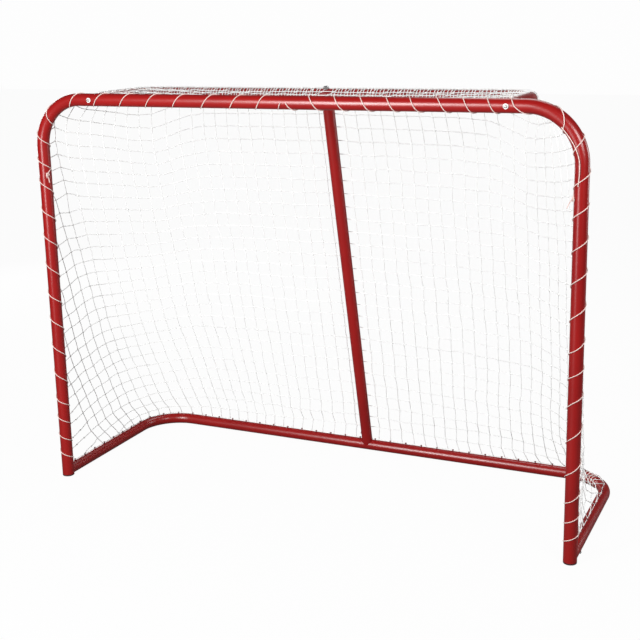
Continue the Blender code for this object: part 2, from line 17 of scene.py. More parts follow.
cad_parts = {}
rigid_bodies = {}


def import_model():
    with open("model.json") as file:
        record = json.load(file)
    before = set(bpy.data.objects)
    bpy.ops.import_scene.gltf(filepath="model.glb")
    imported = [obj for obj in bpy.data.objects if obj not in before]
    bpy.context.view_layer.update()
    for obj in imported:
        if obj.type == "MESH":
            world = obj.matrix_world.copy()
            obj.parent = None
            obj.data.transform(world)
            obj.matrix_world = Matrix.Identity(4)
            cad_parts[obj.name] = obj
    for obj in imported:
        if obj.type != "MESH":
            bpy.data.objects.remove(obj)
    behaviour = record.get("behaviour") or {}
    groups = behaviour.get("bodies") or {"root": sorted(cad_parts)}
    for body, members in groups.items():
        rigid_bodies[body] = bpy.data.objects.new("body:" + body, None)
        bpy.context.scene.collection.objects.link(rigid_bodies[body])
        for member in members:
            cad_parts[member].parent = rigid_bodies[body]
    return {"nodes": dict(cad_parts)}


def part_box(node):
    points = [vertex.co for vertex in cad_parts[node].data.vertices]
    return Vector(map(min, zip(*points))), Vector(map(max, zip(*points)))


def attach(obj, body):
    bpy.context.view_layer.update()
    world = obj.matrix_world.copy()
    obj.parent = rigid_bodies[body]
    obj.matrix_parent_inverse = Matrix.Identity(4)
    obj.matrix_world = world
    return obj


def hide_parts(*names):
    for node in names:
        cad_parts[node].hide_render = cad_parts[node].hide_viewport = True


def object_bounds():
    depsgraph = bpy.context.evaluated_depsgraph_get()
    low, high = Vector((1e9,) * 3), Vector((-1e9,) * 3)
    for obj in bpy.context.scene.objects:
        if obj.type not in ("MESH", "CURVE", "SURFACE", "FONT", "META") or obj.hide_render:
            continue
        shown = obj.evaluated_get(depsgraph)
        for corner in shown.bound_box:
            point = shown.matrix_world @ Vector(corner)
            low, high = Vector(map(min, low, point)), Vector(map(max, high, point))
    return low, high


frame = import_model()
nodes = frame["nodes"]
cad_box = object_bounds()
cad_corners = [tuple(round(v, 4) for v in corner) for corner in cad_box]
print(len(nodes), "parts in the frame, in a box of", cad_corners)

# %% [markdown]
# ## Camera and studio
#
# The photograph was taken from in front, a little to the right and just above the crossbar. The place, the three
# angles and the focal length come from fitting the frame's corners, so they are written as numbers. The small
# shift is there because the photograph was cropped.

# %% Camera
X, Y, Z = Vector((1, 0, 0)), Vector((0, 1, 0)), Vector((0, 0, 1))
scene = bpy.context.scene


def added(name, data):
    """A new object with that data, in the scene."""
    made = bpy.data.objects.new(name, data)
    scene.collection.objects.link(made)
    return made


def photo_camera(place, yaw, pitch, roll, lens, shift):
    """A camera that looks along a yaw to the left and a pitch downwards, tilted by a roll."""
    ahead = Vector((-math.sin(yaw) * math.cos(pitch), math.cos(yaw) * math.cos(pitch), -math.sin(pitch)))
    level = ahead.cross(Z).normalized()
    upright = level.cross(ahead)
    right = math.cos(roll) * level + math.sin(roll) * upright
    top = -math.sin(roll) * level + math.cos(roll) * upright
    data = bpy.data.cameras.new("camera")
    data.lens, data.sensor_width, data.shift_y, data.clip_end = lens, 36, shift, 50
    camera = added("camera", data)
    camera.matrix_world = Matrix.Translation(place) @ Matrix((right, top, -ahead)).transposed().to_4x4()
    return camera


scene.camera = photo_camera(
    place=(1.3012, -2.8552, 1.3201), yaw=0.4363, pitch=0.236, roll=-0.0218, lens=65.28, shift=-0.047
)
scene.view_settings.view_transform = "Standard"
print(f"camera with a {scene.camera.data.lens:.1f} mm lens")

# %% [markdown]
# The studio is white all round. The floor and the world show the camera a plain white through Is Camera Ray,
# and a trace of it to the glossy tubes, while the light that falls on the goal comes from lamps. The floor is
# mostly that white with a little real surface mixed in, which keeps a faint shadow under the rails. What the
# floor throws back at the goal is kept low, or it would fill in the dark flanks of the tubes.

# %% Node helpers


def add_node(tree, kind, group=None, **inputs):
    """A node of that kind, with the values of its inputs given by name."""
    made = tree.nodes.new(kind)
    if group:
        made.node_tree = group
    for name, value in inputs.items():
        made.inputs[name.replace("_", " ")].default_value = value
    return made


def combined(tree, operation, first, second=0.0):
    """The output of a Math node whose two sides are numbers or sockets."""
    both = tree.nodes.new("ShaderNodeMath")
    both.operation = operation
    for socket, value in zip(both.inputs, (first, second)):
        if isinstance(value, (int, float)):
            socket.default_value = value
        else:
            tree.links.new(value, socket)
    return both.outputs[0]


def ranged(tree, value, low, high, to_low=0.0, to_high=1.0):
    """The value moved from one range to another, held at its ends."""
    spread = add_node(tree, "ShaderNodeMapRange", From_Min=low, From_Max=high, To_Min=to_low, To_Max=to_high)
    tree.links.new(value, spread.inputs["Value"])
    return spread.outputs["Result"]


# %% Rays that see plain white
MIRRORED_SHARE = 0.05  # of the white that shows in reflections


def seen_rays(tree):
    """1 where the camera or clear glass looks, a little in reflections, and 0 where light is gathered."""
    rays = tree.nodes.new("ShaderNodeLightPath").outputs
    mirrored = combined(tree, "MULTIPLY", rays["Is Glossy Ray"], MIRRORED_SHARE)
    seen = combined(tree, "MAXIMUM", rays["Is Camera Ray"], mirrored)
    return combined(tree, "MAXIMUM", seen, rays["Is Transmission Ray"])


# %% White floor
FLOOR_LIGHT, FLOOR_SHADE = 0.12, 0.55  # the floor's own grey as light meets it, and where it is seen
FLOOR_WHITENESS = 0.965  # share of plain white in the floor's look


def white_floor(size):
    """A square floor whose own look is blended with plain white for the rays that see it."""
    bm = bmesh.new()
    bmesh.ops.create_grid(bm, x_segments=1, y_segments=1, size=size / 2)
    mesh = bpy.data.meshes.new("floor")
    bm.to_mesh(mesh)
    bm.free()
    finish = bpy.data.materials.new("white_floor")
    finish.use_nodes = True
    tree = finish.node_tree
    tree.nodes.remove(tree.nodes["Principled BSDF"])
    seen = seen_rays(tree)
    surface = add_node(tree, "ShaderNodeBsdfDiffuse")
    tree.links.new(ranged(tree, seen, 0.0, 1.0, FLOOR_LIGHT, FLOOR_SHADE), surface.inputs["Color"])
    glow = add_node(tree, "ShaderNodeEmission", Color=(1, 1, 1, 1), Strength=1.0)
    share = combined(tree, "MULTIPLY", seen, FLOOR_WHITENESS)
    blend = tree.nodes.new("ShaderNodeMixShader")
    for socket, source in zip(blend.inputs, (share, surface.outputs[0], glow.outputs[0])):
        tree.links.new(source, socket)
    tree.links.new(blend.outputs[0], tree.nodes["Material Output"].inputs["Surface"])
    mesh.materials.append(finish)
    return added("floor", mesh)


floor = white_floor(30)
print("floor:", [round(v) for v in floor.dimensions[:2]], "m")

# %% White world
WORLD_LIGHT, SEEN_WHITE = 0.03, 0.985  # the world's strength as light, and where it is seen


def white_world():
    """A world that is plain white to look at and sheds very little light."""
    world = bpy.data.worlds.new("white_world")
    world.use_nodes = True
    tree = world.node_tree
    background = tree.nodes["Background"].inputs
    background["Color"].default_value = (1, 1, 1, 1)
    tree.links.new(ranged(tree, seen_rays(tree), 0.0, 1.0, WORLD_LIGHT, SEEN_WHITE), background["Strength"])
    return world


scene.world = white_world()
print("world:", scene.world.name)

# %% [markdown]
# Six soft lamps light the goal. The strongest stands in front, a little to the left and just above the
# crossbar, so each post is bright on its left, darker on its right and darker towards the floor, and the crossbar
# is darker along its top. A narrow strip below it draws a fine pale streak down each post, and a small one on the
# right brightens the right top bend. One overhead lights the roof of the net, and a pair at the rear corners
# keeps the back bright. A single lamp straight behind would glare along the top of both rails.
# The world sheds very little light of its own, because even light from every side washes the red out to pink.

# %% Softboxes
CROSSBAR_MIDDLE, NET_MIDDLE = (0, -0.25, 1.0), (0, 0.1, 0.6)
SOFTBOXES = [  # name, place, aimed at, width and height, watts
    ("key_softbox", (-0.6, -2.4, 1.55), CROSSBAR_MIDDLE, (1.0, 1.0), 53),
    ("strip_softbox", (-0.8, -2.6, 0.95), (0, -0.25, 0.95), (0.2, 1.2), 35),
    ("side_softbox", (2.0, -1.5, 1.7), (0.75, -0.25, 1.1), (0.7, 0.7), 31),
    ("top_softbox", (0.2, 1.7, 3.0), CROSSBAR_MIDDLE, (1.4, 1.4), 26),
    ("rear_left_softbox", (-2.9, 1.9, 1.1), NET_MIDDLE, (1.3, 1.3), 33),
    ("rear_right_softbox", (2.9, 1.9, 1.1), NET_MIDDLE, (1.3, 1.3), 33),
]
for name, place, target, (width, height), power in SOFTBOXES:
    data = bpy.data.lights.new(name, "AREA")
    data.shape, data.size, data.size_y, data.energy = "RECTANGLE", width, height, power
    aim = (Vector(target) - Vector(place)).to_track_quat("-Z", "Y")
    added(name, data).matrix_world = Matrix.Translation(place) @ aim.to_matrix().to_4x4()
print("lamps:", [f"{name} {power} W" for name, _, _, _, power in SOFTBOXES])

# %% [markdown]
# ## Measures taken from the frame
#
# A fine piece has to lie exactly where the engineering model has it, so the places of the tubes' axes are read
# from the boxes of small parts that sit on them rather than typed again.

# %% Places of the axes


def middle_of(node):
    low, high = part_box(node)
    return (Vector(low) + Vector(high)) / 2


FRONT_R, BASE_R, WALL, GAP = 0.017, 0.016, 0.0015, 0.0003
FRONT_BEND, BASE_BEND, TOP_BEND = 0.130, 0.120, 0.070
SIDE_NAMES = {-1: "left", 1: "right"}

POST_X = middle_of("right_foot_plug").x
FRONT_Y = middle_of("right_foot_plug").y
BAR_Z = middle_of("crossbar_sleeve").z
ARM_X = middle_of("right_top_washer").x
BACK_BAR = Vector((0, middle_of("base_sleeve").y, BASE_R))
REAR_BAR = Vector((0, Vector(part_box("rear_top_bar")[1]).y - BASE_R, BAR_Z))
SEAM_X = middle_of("base_sleeve").x
DOWN = (BACK_BAR - REAR_BAR).normalized()
LEAN = math.atan2(DOWN.y, -DOWN.z)
print(f"posts at {POST_X:.4f}, front at {FRONT_Y:.4f}, crossbar at {BAR_Z:.4f}, arms at {ARM_X:.4f}")
print(f"rear top bar at {REAR_BAR.y:.4f}, back bar at {BACK_BAR.y:.4f}, lean {math.degrees(LEAN):.1f} degrees")

# %% [markdown]
# ## Shared effects for the finishes
#
# A finish reads as real when it varies at several sizes at once. Three effects come up in more than one
# material, so each is a node group with named inputs: uneven colour in soft patches, a fine grain for the
# height of a bump, and rubbed marks. They all work from the object's own coordinates, so they need no unwrapping.

# %% Node group helpers


def new_group(name, inputs, outputs):
    """An empty node group. Each input is (name, value), and each output is a name."""
    group = bpy.data.node_groups.new(name, "ShaderNodeTree")
    for label, value in inputs:
        socket = group.interface.new_socket(label, in_out="INPUT", socket_type="NodeSocketFloat")
        socket.default_value = value
    for label in outputs:
        group.interface.new_socket(label, in_out="OUTPUT", socket_type="NodeSocketFloat")
    return group, group.nodes.new("NodeGroupInput"), group.nodes.new("NodeGroupOutput")


def place_group(tree, group, **inputs):
    return add_node(tree, "ShaderNodeGroup", group, **inputs)


def sized_noise(tree, size_socket, detail, roughness):
    """Noise in the object's coordinates whose lumps are as large as the size says."""
    coordinates = tree.nodes.new("ShaderNodeTexCoord")
    noise = add_node(tree, "ShaderNodeTexNoise", Detail=detail, Roughness=roughness)
    tree.links.new(coordinates.outputs["Object"], noise.inputs["Vector"])
    tree.links.new(combined(tree, "DIVIDE", 1.0, size_socket), noise.inputs["Scale"])
    return noise.outputs["Fac"]


# %% Uneven colour, grain and rubbed marks
patches, inside, outside = new_group("soft_patches", [("Size", 0.1)], ["Mask"])
cloud = sized_noise(patches, inside.outputs["Size"], 4, 0.6)
patches.links.new(ranged(patches, cloud, 0.3, 0.7), outside.inputs["Mask"])

grain, inside, outside = new_group("fine_grain", [("Size", 0.002), ("Strength", 1.0)], ["Height"])
pebble = sized_noise(grain, inside.outputs["Size"], 3, 0.55)
grain.links.new(combined(grain, "MULTIPLY", pebble, inside.outputs["Strength"]), outside.inputs["Height"])

marks, inside, outside = new_group("rubbed_marks", [("Size", 0.012), ("Amount", 0.1)], ["Mask"])
spots = sized_noise(marks, inside.outputs["Size"], 6, 0.7)
level = combined(marks, "SUBTRACT", 0.78, inside.outputs["Amount"])
above = combined(marks, "MULTIPLY", combined(marks, "SUBTRACT", spots, level), 9.0)
marks.links.new(ranged(marks, above, 0.0, 1.0), outside.inputs["Mask"])
print("effects:", [g.name for g in bpy.data.node_groups])

# %% [markdown]
# Cord and twine are laid from twisted strands. The pieces keep how far along the cord and how far round it each
# corner lies, as two attributes, so one group can draw the twist for cord of any thickness: the height is a wave
# that climbs as it goes round, and its troughs give a mask of painted shade for the grooves.

# %% Twisted lay of cord
lay, inside, outside = new_group("twisted_lay", [("Strands", 3.0), ("Pitch", 0.006)], ["Height", "Groove"])
kept = {}
for name in ("along", "around"):
    kept[name] = lay.nodes.new("ShaderNodeAttribute")
    kept[name].attribute_name = name
turned = combined(lay, "MULTIPLY", kept["around"].outputs["Fac"], inside.outputs["Strands"])
climbed = combined(lay, "DIVIDE", kept["along"].outputs["Fac"], inside.outputs["Pitch"])
angle = combined(lay, "MULTIPLY", combined(lay, "ADD", turned, climbed), 2 * math.pi)
wave = ranged(lay, combined(lay, "SINE", angle), -1.0, 1.0)
lay.links.new(wave, outside.inputs["Height"])
# the troughs of the wave darken the colour in the grooves: painted shade
lay.links.new(ranged(lay, wave, 0.35, 0.0), outside.inputs["Groove"])
print("cord's lay puts out", [item.name for item in lay.interface.items_tree if item.in_out == "OUTPUT"])

# %% [markdown]
# ## Finishes
#
# Each finish starts from a plain material with a Principled shader, and a small helper mixes its colour from two
# shades by a mask. The red is a glossy powder coat: a slightly uneven deep red, an orange-peel surface a couple
# of millimetres across, and a few dull rubbed spots from the lacing and from carrying.

# %% Helpers for the finishes


def new_finish(name, roughness, metallic=0.0):
    """A plain material, with its node tree and its Principled shader."""
    finish = bpy.data.materials.new(name)
    finish.use_nodes = True
    shader = finish.node_tree.nodes["Principled BSDF"]
    shader.inputs["Roughness"].default_value = roughness
    shader.inputs["Metallic"].default_value = metallic
    return finish, finish.node_tree, shader


def two_shades(tree, mask, first, second):
    """A colour that goes from the first shade to the second as the mask goes from 0 to 1."""
    blend = tree.nodes.new("ShaderNodeMix")
    blend.data_type = "RGBA"
    for socket, value in ((blend.inputs[6], first), (blend.inputs[7], second)):
        if isinstance(value, tuple):
            socket.default_value = (*value, 1)
        else:
            tree.links.new(value, socket)
    tree.links.new(mask, blend.inputs[0])
    return blend.outputs[2]


def feed(tree, shader, **sources):
    """Links each source to the shader's input of that name."""
    for name, source in sources.items():
        tree.links.new(source, shader.inputs[name.replace("_", " ")])


def bumped(tree, shader, height, distance):
    bump = add_node(tree, "ShaderNodeBump", Strength=1.0, Distance=distance)
    tree.links.new(height, bump.inputs["Height"])
    feed(tree, shader, Normal=bump.outputs["Normal"])


def grained(tree, shader, size, depth):
    bumped(tree, shader, place_group(tree, grain, Size=size, Strength=1.0).outputs["Height"], depth)


# %% Red powder coat


def powder_coat(name, shade, deep_shade, rubbed_shade):
    finish, tree, shader = new_finish(name, 0.3)
    shader.inputs["Specular IOR Level"].default_value = 0.55
    uneven = place_group(tree, patches, Size=0.22).outputs["Mask"]
    rubbed = place_group(tree, marks, Size=0.009, Amount=0.07).outputs["Mask"]
    colour = two_shades(tree, rubbed, two_shades(tree, uneven, shade, deep_shade), rubbed_shade)
    feed(tree, shader, Base_Color=colour, Roughness=ranged(tree, rubbed, 0.0, 1.0, 0.30, 0.55))
    grained(tree, shader, 0.0022, 0.00012)
    return finish


red_coat = powder_coat("red_powder_coat", (0.31, 0.007, 0.006), (0.25, 0.005, 0.005), (0.29, 0.02, 0.018))
print("finish:", red_coat.name)

# %% [markdown]
# The fasteners and everything inside the tubes are zinc-plated steel, which is a bright grey metal with a cloudy
# surface that is rougher in some patches than in others. The front bolts are a duller plate, and sit in
# white-painted washers that stand out against the red.

# %% Plated steel and white enamel


def plated_steel(name, bright, dull, low_roughness, high_roughness):
    finish, tree, shader = new_finish(name, 0.35, 1.0)
    cloudy = place_group(tree, patches, Size=0.006).outputs["Mask"]
    roughness = ranged(tree, cloudy, 0.0, 1.0, low_roughness, high_roughness)
    feed(tree, shader, Base_Color=two_shades(tree, cloudy, bright, dull), Roughness=roughness)
    grained(tree, shader, 0.0006, 0.00003)
    return finish


zinc_plate = plated_steel("zinc_plated_steel", (0.66, 0.66, 0.65), (0.50, 0.51, 0.53), 0.25, 0.45)
dull_plate = plated_steel("dull_plated_steel", (0.50, 0.48, 0.46), (0.40, 0.39, 0.38), 0.4, 0.5)

white_enamel, tree, shader = new_finish("white_enamel", 0.3)
worn = place_group(tree, marks, Size=0.003, Amount=0.1).outputs["Mask"]
enamel = two_shades(tree, worn, (0.86, 0.85, 0.83), (0.52, 0.50, 0.48))
feed(tree, shader, Base_Color=enamel, Roughness=ranged(tree, worn, 0.0, 1.0, 0.28, 0.6))
grained(tree, shader, 0.0012, 0.00004)
print("finishes:", zinc_plate.name, dull_plate.name, white_enamel.name)

# %% [markdown]
# The feet are dark plugs and the net's pegs are dark red, both of moulded plastic: matt, with a fine pebble
# grain from the mould and scuffs that are paler than the plastic.

# %% Moulded plastic


def moulded_plastic(name, shade, scuffed_shade, roughness):
    finish, tree, shader = new_finish(name, roughness)
    scuffed = place_group(tree, marks, Size=0.005, Amount=0.16).outputs["Mask"]
    scuffed_roughness = ranged(tree, scuffed, 0.0, 1.0, roughness, roughness + 0.2)
    feed(tree, shader, Base_Color=two_shades(tree, scuffed, shade, scuffed_shade), Roughness=scuffed_roughness)
    grained(tree, shader, 0.0008, 0.00008)
    return finish


foot_plastic = moulded_plastic("dark_foot_plastic", (0.055, 0.014, 0.016), (0.11, 0.05, 0.05), 0.5)
peg_plastic = moulded_plastic("dark_red_peg_plastic", (0.16, 0.010, 0.014), (0.28, 0.05, 0.05), 0.45)
print("finishes:", foot_plastic.name, peg_plastic.name)

# %% [markdown]
# The lacing cord is white with a hint of warmth, and the net is a thinner off-white twine. Both are matt, with
# painted shade in the grooves of their lay, and slightly soiled in patches.

# %% Cord and twine


def laid_cord(name, shades, strands, pitch, depth):
    """A matt cord finish. Its shades are of the cord itself, of the painted shade in its grooves and of what is
    soiled.
    """
    shade, painted_groove_shade, soiled_shade = shades
    finish, tree, shader = new_finish(name, 0.8)
    shader.inputs["Sheen Weight"].default_value = 0.15
    twisted = place_group(tree, lay, Strands=strands, Pitch=pitch)
    soiled = place_group(tree, patches, Size=0.09).outputs["Mask"]
    # the grooves of the lay get painted shade
    colour_with_painted_groove_shade = two_shades(tree, twisted.outputs["Groove"], shade, painted_groove_shade)
    soil = ranged(tree, soiled, 0.45, 1.0, 0.0, 0.6)
    feed(tree, shader, Base_Color=two_shades(tree, soil, colour_with_painted_groove_shade, soiled_shade))
    bumped(tree, shader, twisted.outputs["Height"], depth)
    return finish


# each gives the cord's own colour, the painted shade in its grooves, and its soiled colour
cord_shades = (0.88, 0.68, 0.63), (0.66, 0.50, 0.46), (0.80, 0.60, 0.56)
lacing_cord = laid_cord("white_lacing_cord", cord_shades, strands=4, pitch=0.005, depth=0.0003)
twine_shades = (0.95, 0.95, 0.94), (0.82, 0.82, 0.81), (0.90, 0.90, 0.89)
net_twine = laid_cord("off_white_twine", twine_shades, strands=3, pitch=0.004, depth=0.0002)
print("finishes:", lacing_cord.name, net_twine.name)

# %% [markdown]
# ## Putting a piece in place
#
# Every piece rides on the frame's one body, gets its finish, and stands for the parts of the engineering model
# that it is a finer version of, which are hidden. One helper does these so that none is forgotten.

# %% Placing helper


def put(name, mesh, finish, slot, *stands_for):
    """The mesh as a piece of the goal, in a finish, for the parts that it stands for; the slot is not used."""
    mesh.materials.append(finish)
    piece = added(name, mesh)
    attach(piece, "root")
    if stands_for:
        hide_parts(*stands_for)
    return piece


def pieces_ending(*endings):
    """Names of the pieces made here that end so, for a cell to print."""
    return [o.name for o in bpy.data.objects if o.name.endswith(endings) and o.name not in nodes]


def finished_mesh(name, bm, sharp=35):
    """A smooth mesh from the corners and faces so far, with edges above that angle left sharp."""
    bmesh.ops.recalc_face_normals(bm, faces=bm.faces[:])
    mesh = bpy.data.meshes.new(name)
    bm.to_mesh(mesh)
    bm.free()
    mesh.shade_smooth()
    mesh.set_sharp_from_angle(angle=math.radians(sharp))
    return mesh


# %% [markdown]
# ## Steel tubes
#
# Each tube is one pipe bent in a machine, so its section stays round and its bends are true arcs. A curve with a
# bevel would give the shape but not the wall or the shaped ends, so the tube is lofted instead: loops of corners
# are set square to the line and joined, once for the outside and once for the inside. Where a tube butts on to
# another, each corner of its end loop is moved along the tube until it lies on the other one, which is exactly
# what a notching tool does.

# %% Rounded lines


def rounded_line(corners, radius, steps=24):
    """The line through the corners, with each inner corner turned as an arc."""
    line = [corners[0]]
    for before, corner, after in zip(corners, corners[1:], corners[2:]):
        back, ahead = (before - corner).normalized(), (after - corner).normalized()
        bend = back.angle(ahead)
        centre = corner + (back + ahead).normalized() * radius / math.sin(bend / 2)
        first = corner + back * radius / math.tan(bend / 2) - centre
        axis = first.cross(corner + ahead * radius / math.tan(bend / 2) - centre)
        turns = [Matrix.Rotation((math.pi - bend) * i / steps, 3, axis) for i in range(steps + 1)]
        line += [centre + turn @ first for turn in turns]
    return line + [corners[-1]]


def ways_along(line):
    """The way that the line runs at each of its points."""
    steps = [(b - a).normalized() for a, b in zip(line, line[1:])]
    return [steps[0], *[(a + b).normalized() for a, b in zip(steps, steps[1:])], steps[-1]]


# %% Loops of corners


def loop_places(centre, way, up, radius, sides, shape=None):
    """Corners round a centre, square to the way, the first of them at up."""
    side = way.cross(up).normalized()
    top = side.cross(way)
    places = []
    for i in range(sides):
        turn = 2 * math.pi * i / sides
        reach = radius * (shape(turn) if shape else 1)
        places.append(centre + reach * (math.cos(turn) * top + math.sin(turn) * side))
    return places


def notched(places, centre, bar_way, bar_radius, inwards):
    """The corners moved along the tube on to a bar whose axis runs through the centre."""
    moved = []
    for place in places:
        out = place - centre
        off = out - out.dot(bar_way) * bar_way
        moved.append(place + inwards * math.sqrt(max(bar_radius**2 - off.length_squared, 0)))
    return moved


def joined(bm, loops):
    """Faces between each loop of corners and the next."""
    for first, second in zip(loops, loops[1:]):
        for i in range(len(first)):
            bm.faces.new((first[i - 1], first[i], second[i], second[i - 1]))


# %% Lofted tubes with notched ends
TUBE_SIDES = 48


def tube(name, line, up, radius, stands_for, start_bar=None, end_bar=None):
    """A red tube along a line in one plane. A bar is (way, radius) of what that end butts on to."""
    bm = bmesh.new()
    ways = ways_along(line)
    shells = []
    for reach in (radius, radius - WALL):
        loops = [loop_places(p, way, up, reach, TUBE_SIDES) for p, way in zip(line, ways)]
        if start_bar:
            loops[0] = notched(loops[0], line[0], *start_bar, ways[0])
        if end_bar:
            loops[-1] = notched(loops[-1], line[-1], *end_bar, -ways[-1])
        shells.append([[bm.verts.new(p) for p in places] for places in loops])
        joined(bm, shells[-1])
    for end in (0, -1):
        joined(bm, [shells[0][end], shells[1][end]])
    return put(name, finished_mesh(name, bm), red_coat, "red_paint", stands_for)


# %% The frame's six tubes
for sign, side in SIDE_NAMES.items():
    corners = [(sign * POST_X, FRONT_Y, 0.005), (sign * POST_X, FRONT_Y, BAR_Z), (sign * GAP / 2, FRONT_Y, BAR_Z)]
    line = rounded_line([Vector(c) for c in corners], FRONT_BEND)
    tube(side + "_front_tube", line, Y, FRONT_R, side + "_post_and_crossbar")

    post_foot, rear_corner = (sign * POST_X, FRONT_Y, BASE_R), (sign * POST_X, BACK_BAR.y, BASE_R)
    corners = [post_foot, rear_corner, (SEAM_X + sign * GAP / 2, BACK_BAR.y, BASE_R)]
    line = rounded_line([Vector(c) for c in corners], BASE_BEND)
    tube(side + "_rail_tube", line, Z, BASE_R, side + "_base_tube", start_bar=(Z, FRONT_R + GAP))

corners = [(-ARM_X, FRONT_Y, BAR_Z), REAR_BAR - X * ARM_X, REAR_BAR + X * ARM_X, (ARM_X, FRONT_Y, BAR_Z)]
crossbar_seat = (X, FRONT_R + GAP)
line = rounded_line([Vector(c) for c in corners], TOP_BEND)
tube("rear_top_tube", line, Z, BASE_R, "rear_top_bar", crossbar_seat, crossbar_seat)
bar_seat = (X, BASE_R + GAP)
tube("middle_tube", [REAR_BAR, BACK_BAR], X, BASE_R, "centre_tube", bar_seat, bar_seat)
print("tubes:", pieces_ending("_tube"))

# %% [markdown]
# ## Feet, bolts and screws
#
# All of these are turned on a lathe, so each is made from a profile of distances and radii along its axis. A
# profile row can carry a shape that pulls the round loop into a hexagon or a cross, which gives the bolt heads,
# the sockets and the cross recesses without any cutting.

# %% Hexagons, crosses and threads
THREAD_ROOT, THREAD_END = 0.86, 0.6  # a thread's smallest radius and its tip, as shares of its radius


def hexagon(turn):
    """A hexagon's reach at an angle, where half its width over flats is 1."""
    return 1 / math.cos((turn + math.pi / 6) % (math.pi / 3) - math.pi / 6)


def cross(turn):
    """The outline of a cross recess whose arms reach 1."""
    return 0.34 + 0.66 * max(0.0, math.cos(2 * turn) ** 2 * 2 - 1) ** 0.5


def threaded(start, end, radius, pitch=0.0008):
    """Profile rows for a shank whose ridges follow the pitch."""
    count = int((end - start) / pitch)
    rows = []
    for i in range(count):
        rows += [(start + i * pitch, radius * THREAD_ROOT), (start + (i + 0.5) * pitch, radius)]
    return rows + [(end, radius * THREAD_END)]


# %% Turned pieces
HEAD_SIDES = 48


def turned_loops(bm, start, way, up, profile, sides):
    """Loops of corners about an axis from (distance, radius) or (distance, radius, shape) rows."""
    loops = []
    for distance, radius, *shape in profile:
        places = loop_places(start + way * distance, way, up, radius, sides, *shape)
        loops.append([bm.verts.new(p) for p in places])
    return loops


def turn_solid(bm, start, way, up, profile, sides):
    loops = turned_loops(bm, start, way, up, profile, sides)
    joined(bm, loops)
    bm.faces.new(loops[0])
    bm.faces.new(loops[-1])


def turned_mesh(name, start, way, up, profile):
    """A closed solid turned about an axis."""
    bm = bmesh.new()
    turn_solid(bm, start, way, up, profile, HEAD_SIDES)
    return finished_mesh(name, bm, 30)


def ring_mesh(name, start, way, up, profile):
    """A washer turned about an axis, whose last profile row joins the first."""
    bm = bmesh.new()
    loops = turned_loops(bm, start, way, up, profile, HEAD_SIDES)
    joined(bm, loops + [loops[0]])
    return finished_mesh(name, bm)


# %% Pan head screws


def pan_screw(name, seat, out, up, stands_for):
    """A pan head screw with a cross recess, whose head rests at the seat."""
    head, tall, shank, long = 0.004, 0.0026, 0.002, 0.010
    profile = [
        (0.0016, 0.0003, cross),
        (0.0013, 0.0016, cross),
        (0.0000, 0.0021, cross),
        (0.0001, 0.0027),
        (0.0004, 0.0034),
        (0.0010, 0.0038),
        (0.0018, head),
        (tall - 0.0002, head),
        (tall, head - 0.0002),
        *threaded(tall, tall + long, shank),
    ]
    mesh = turned_mesh(name, seat + out * tall, -out, up, profile)
    return put(name, mesh, zinc_plate, "plated_steel", stands_for)


tilt = math.radians(-25)  # the base's screws point a little downwards
low_back = Y * math.cos(tilt) + Z * math.sin(tilt)
for sign, side in SIDE_NAMES.items():
    name = side + "_crossbar_screw"
    axis = Vector((middle_of(name).x, FRONT_Y, BAR_Z))
    pan_screw(side + "_crossbar_pan_screw", axis + Y * (FRONT_R + GAP), Y, Z, name)
    axis = BACK_BAR + X * (SEAM_X + sign * 0.045)
    pan_screw(side + "_back_bar_pan_screw", axis + low_back * (BASE_R + GAP), low_back, X, side + "_base_screw")
    low_side = X * sign * math.cos(tilt) + Z * math.sin(tilt)
    axis = Vector((sign * POST_X, FRONT_Y + 0.048, BASE_R))
    pan_screw(side + "_rail_pan_screw", axis + low_side * (BASE_R + GAP), low_side, Y, side + "_foot_screw")
axis = BACK_BAR - DOWN * 0.040
pan_screw("middle_tube_pan_screw", axis - X * (BASE_R + GAP), -X, Y, "centre_screw")

# %% [markdown]
# The two front bolts have round heads with a hexagon socket and go right through the crossbar, and a hexagon
# headed bolt comes down through the rear top bar. Threads are modelled as ridges rather than as a true helix,
# because they lie inside the tubes. The feet are short plugs with a rounded rim that the posts stand on.

# %% Bolts, washers and feet
for sign, side in SIDE_NAMES.items():
    seat = Vector((sign * ARM_X, FRONT_Y - FRONT_R - GAP, BAR_Z))
    profile = [(0, 0.0030), (0, 0.0062), (0.0003, 0.0065), (0.0016, 0.0065), (0.0020, 0.0060), (0.0020, 0.0030)]
    mesh = ring_mesh(side + "_bolt_washer", seat, -Y, Z, profile)
    put(side + "_bolt_washer", mesh, white_enamel, "white_washer", side + "_top_washer")

    profile = [
        (0.0020, 0.0002, hexagon),
        (0.0019, 0.0015, hexagon),
        (0.0000, 0.0016, hexagon),
        (0.0000, 0.0022),
        (0.0003, 0.0031),
        (0.0010, 0.0039),
        (0.0020, 0.0042),
        (0.0030, 0.00425),
        *threaded(0.0030, 0.055, 0.0025, 0.0016),
    ]
    start = seat - Y * (0.0020 + GAP + 0.0030)
    mesh = turned_mesh(side + "_socket_bolt", start, Y, Z, profile)
    put(side + "_socket_bolt", mesh, dull_plate, "plated_steel", side + "_top_bolt")

    profile = [(0, 0.012), (0.0002, 0.0148), (0.0009, 0.0164), (0.0018, FRONT_R)]
    profile += [(0.0047, FRONT_R), (0.0047, 0.0151), (0.024, 0.0149), (0.025, 0.0140)]
    mesh = turned_mesh(side + "_foot", Vector((sign * POST_X, FRONT_Y, 0)), Z, Y, profile)
    put(side + "_foot", mesh, foot_plastic, "end_plug", side + "_foot_plug")

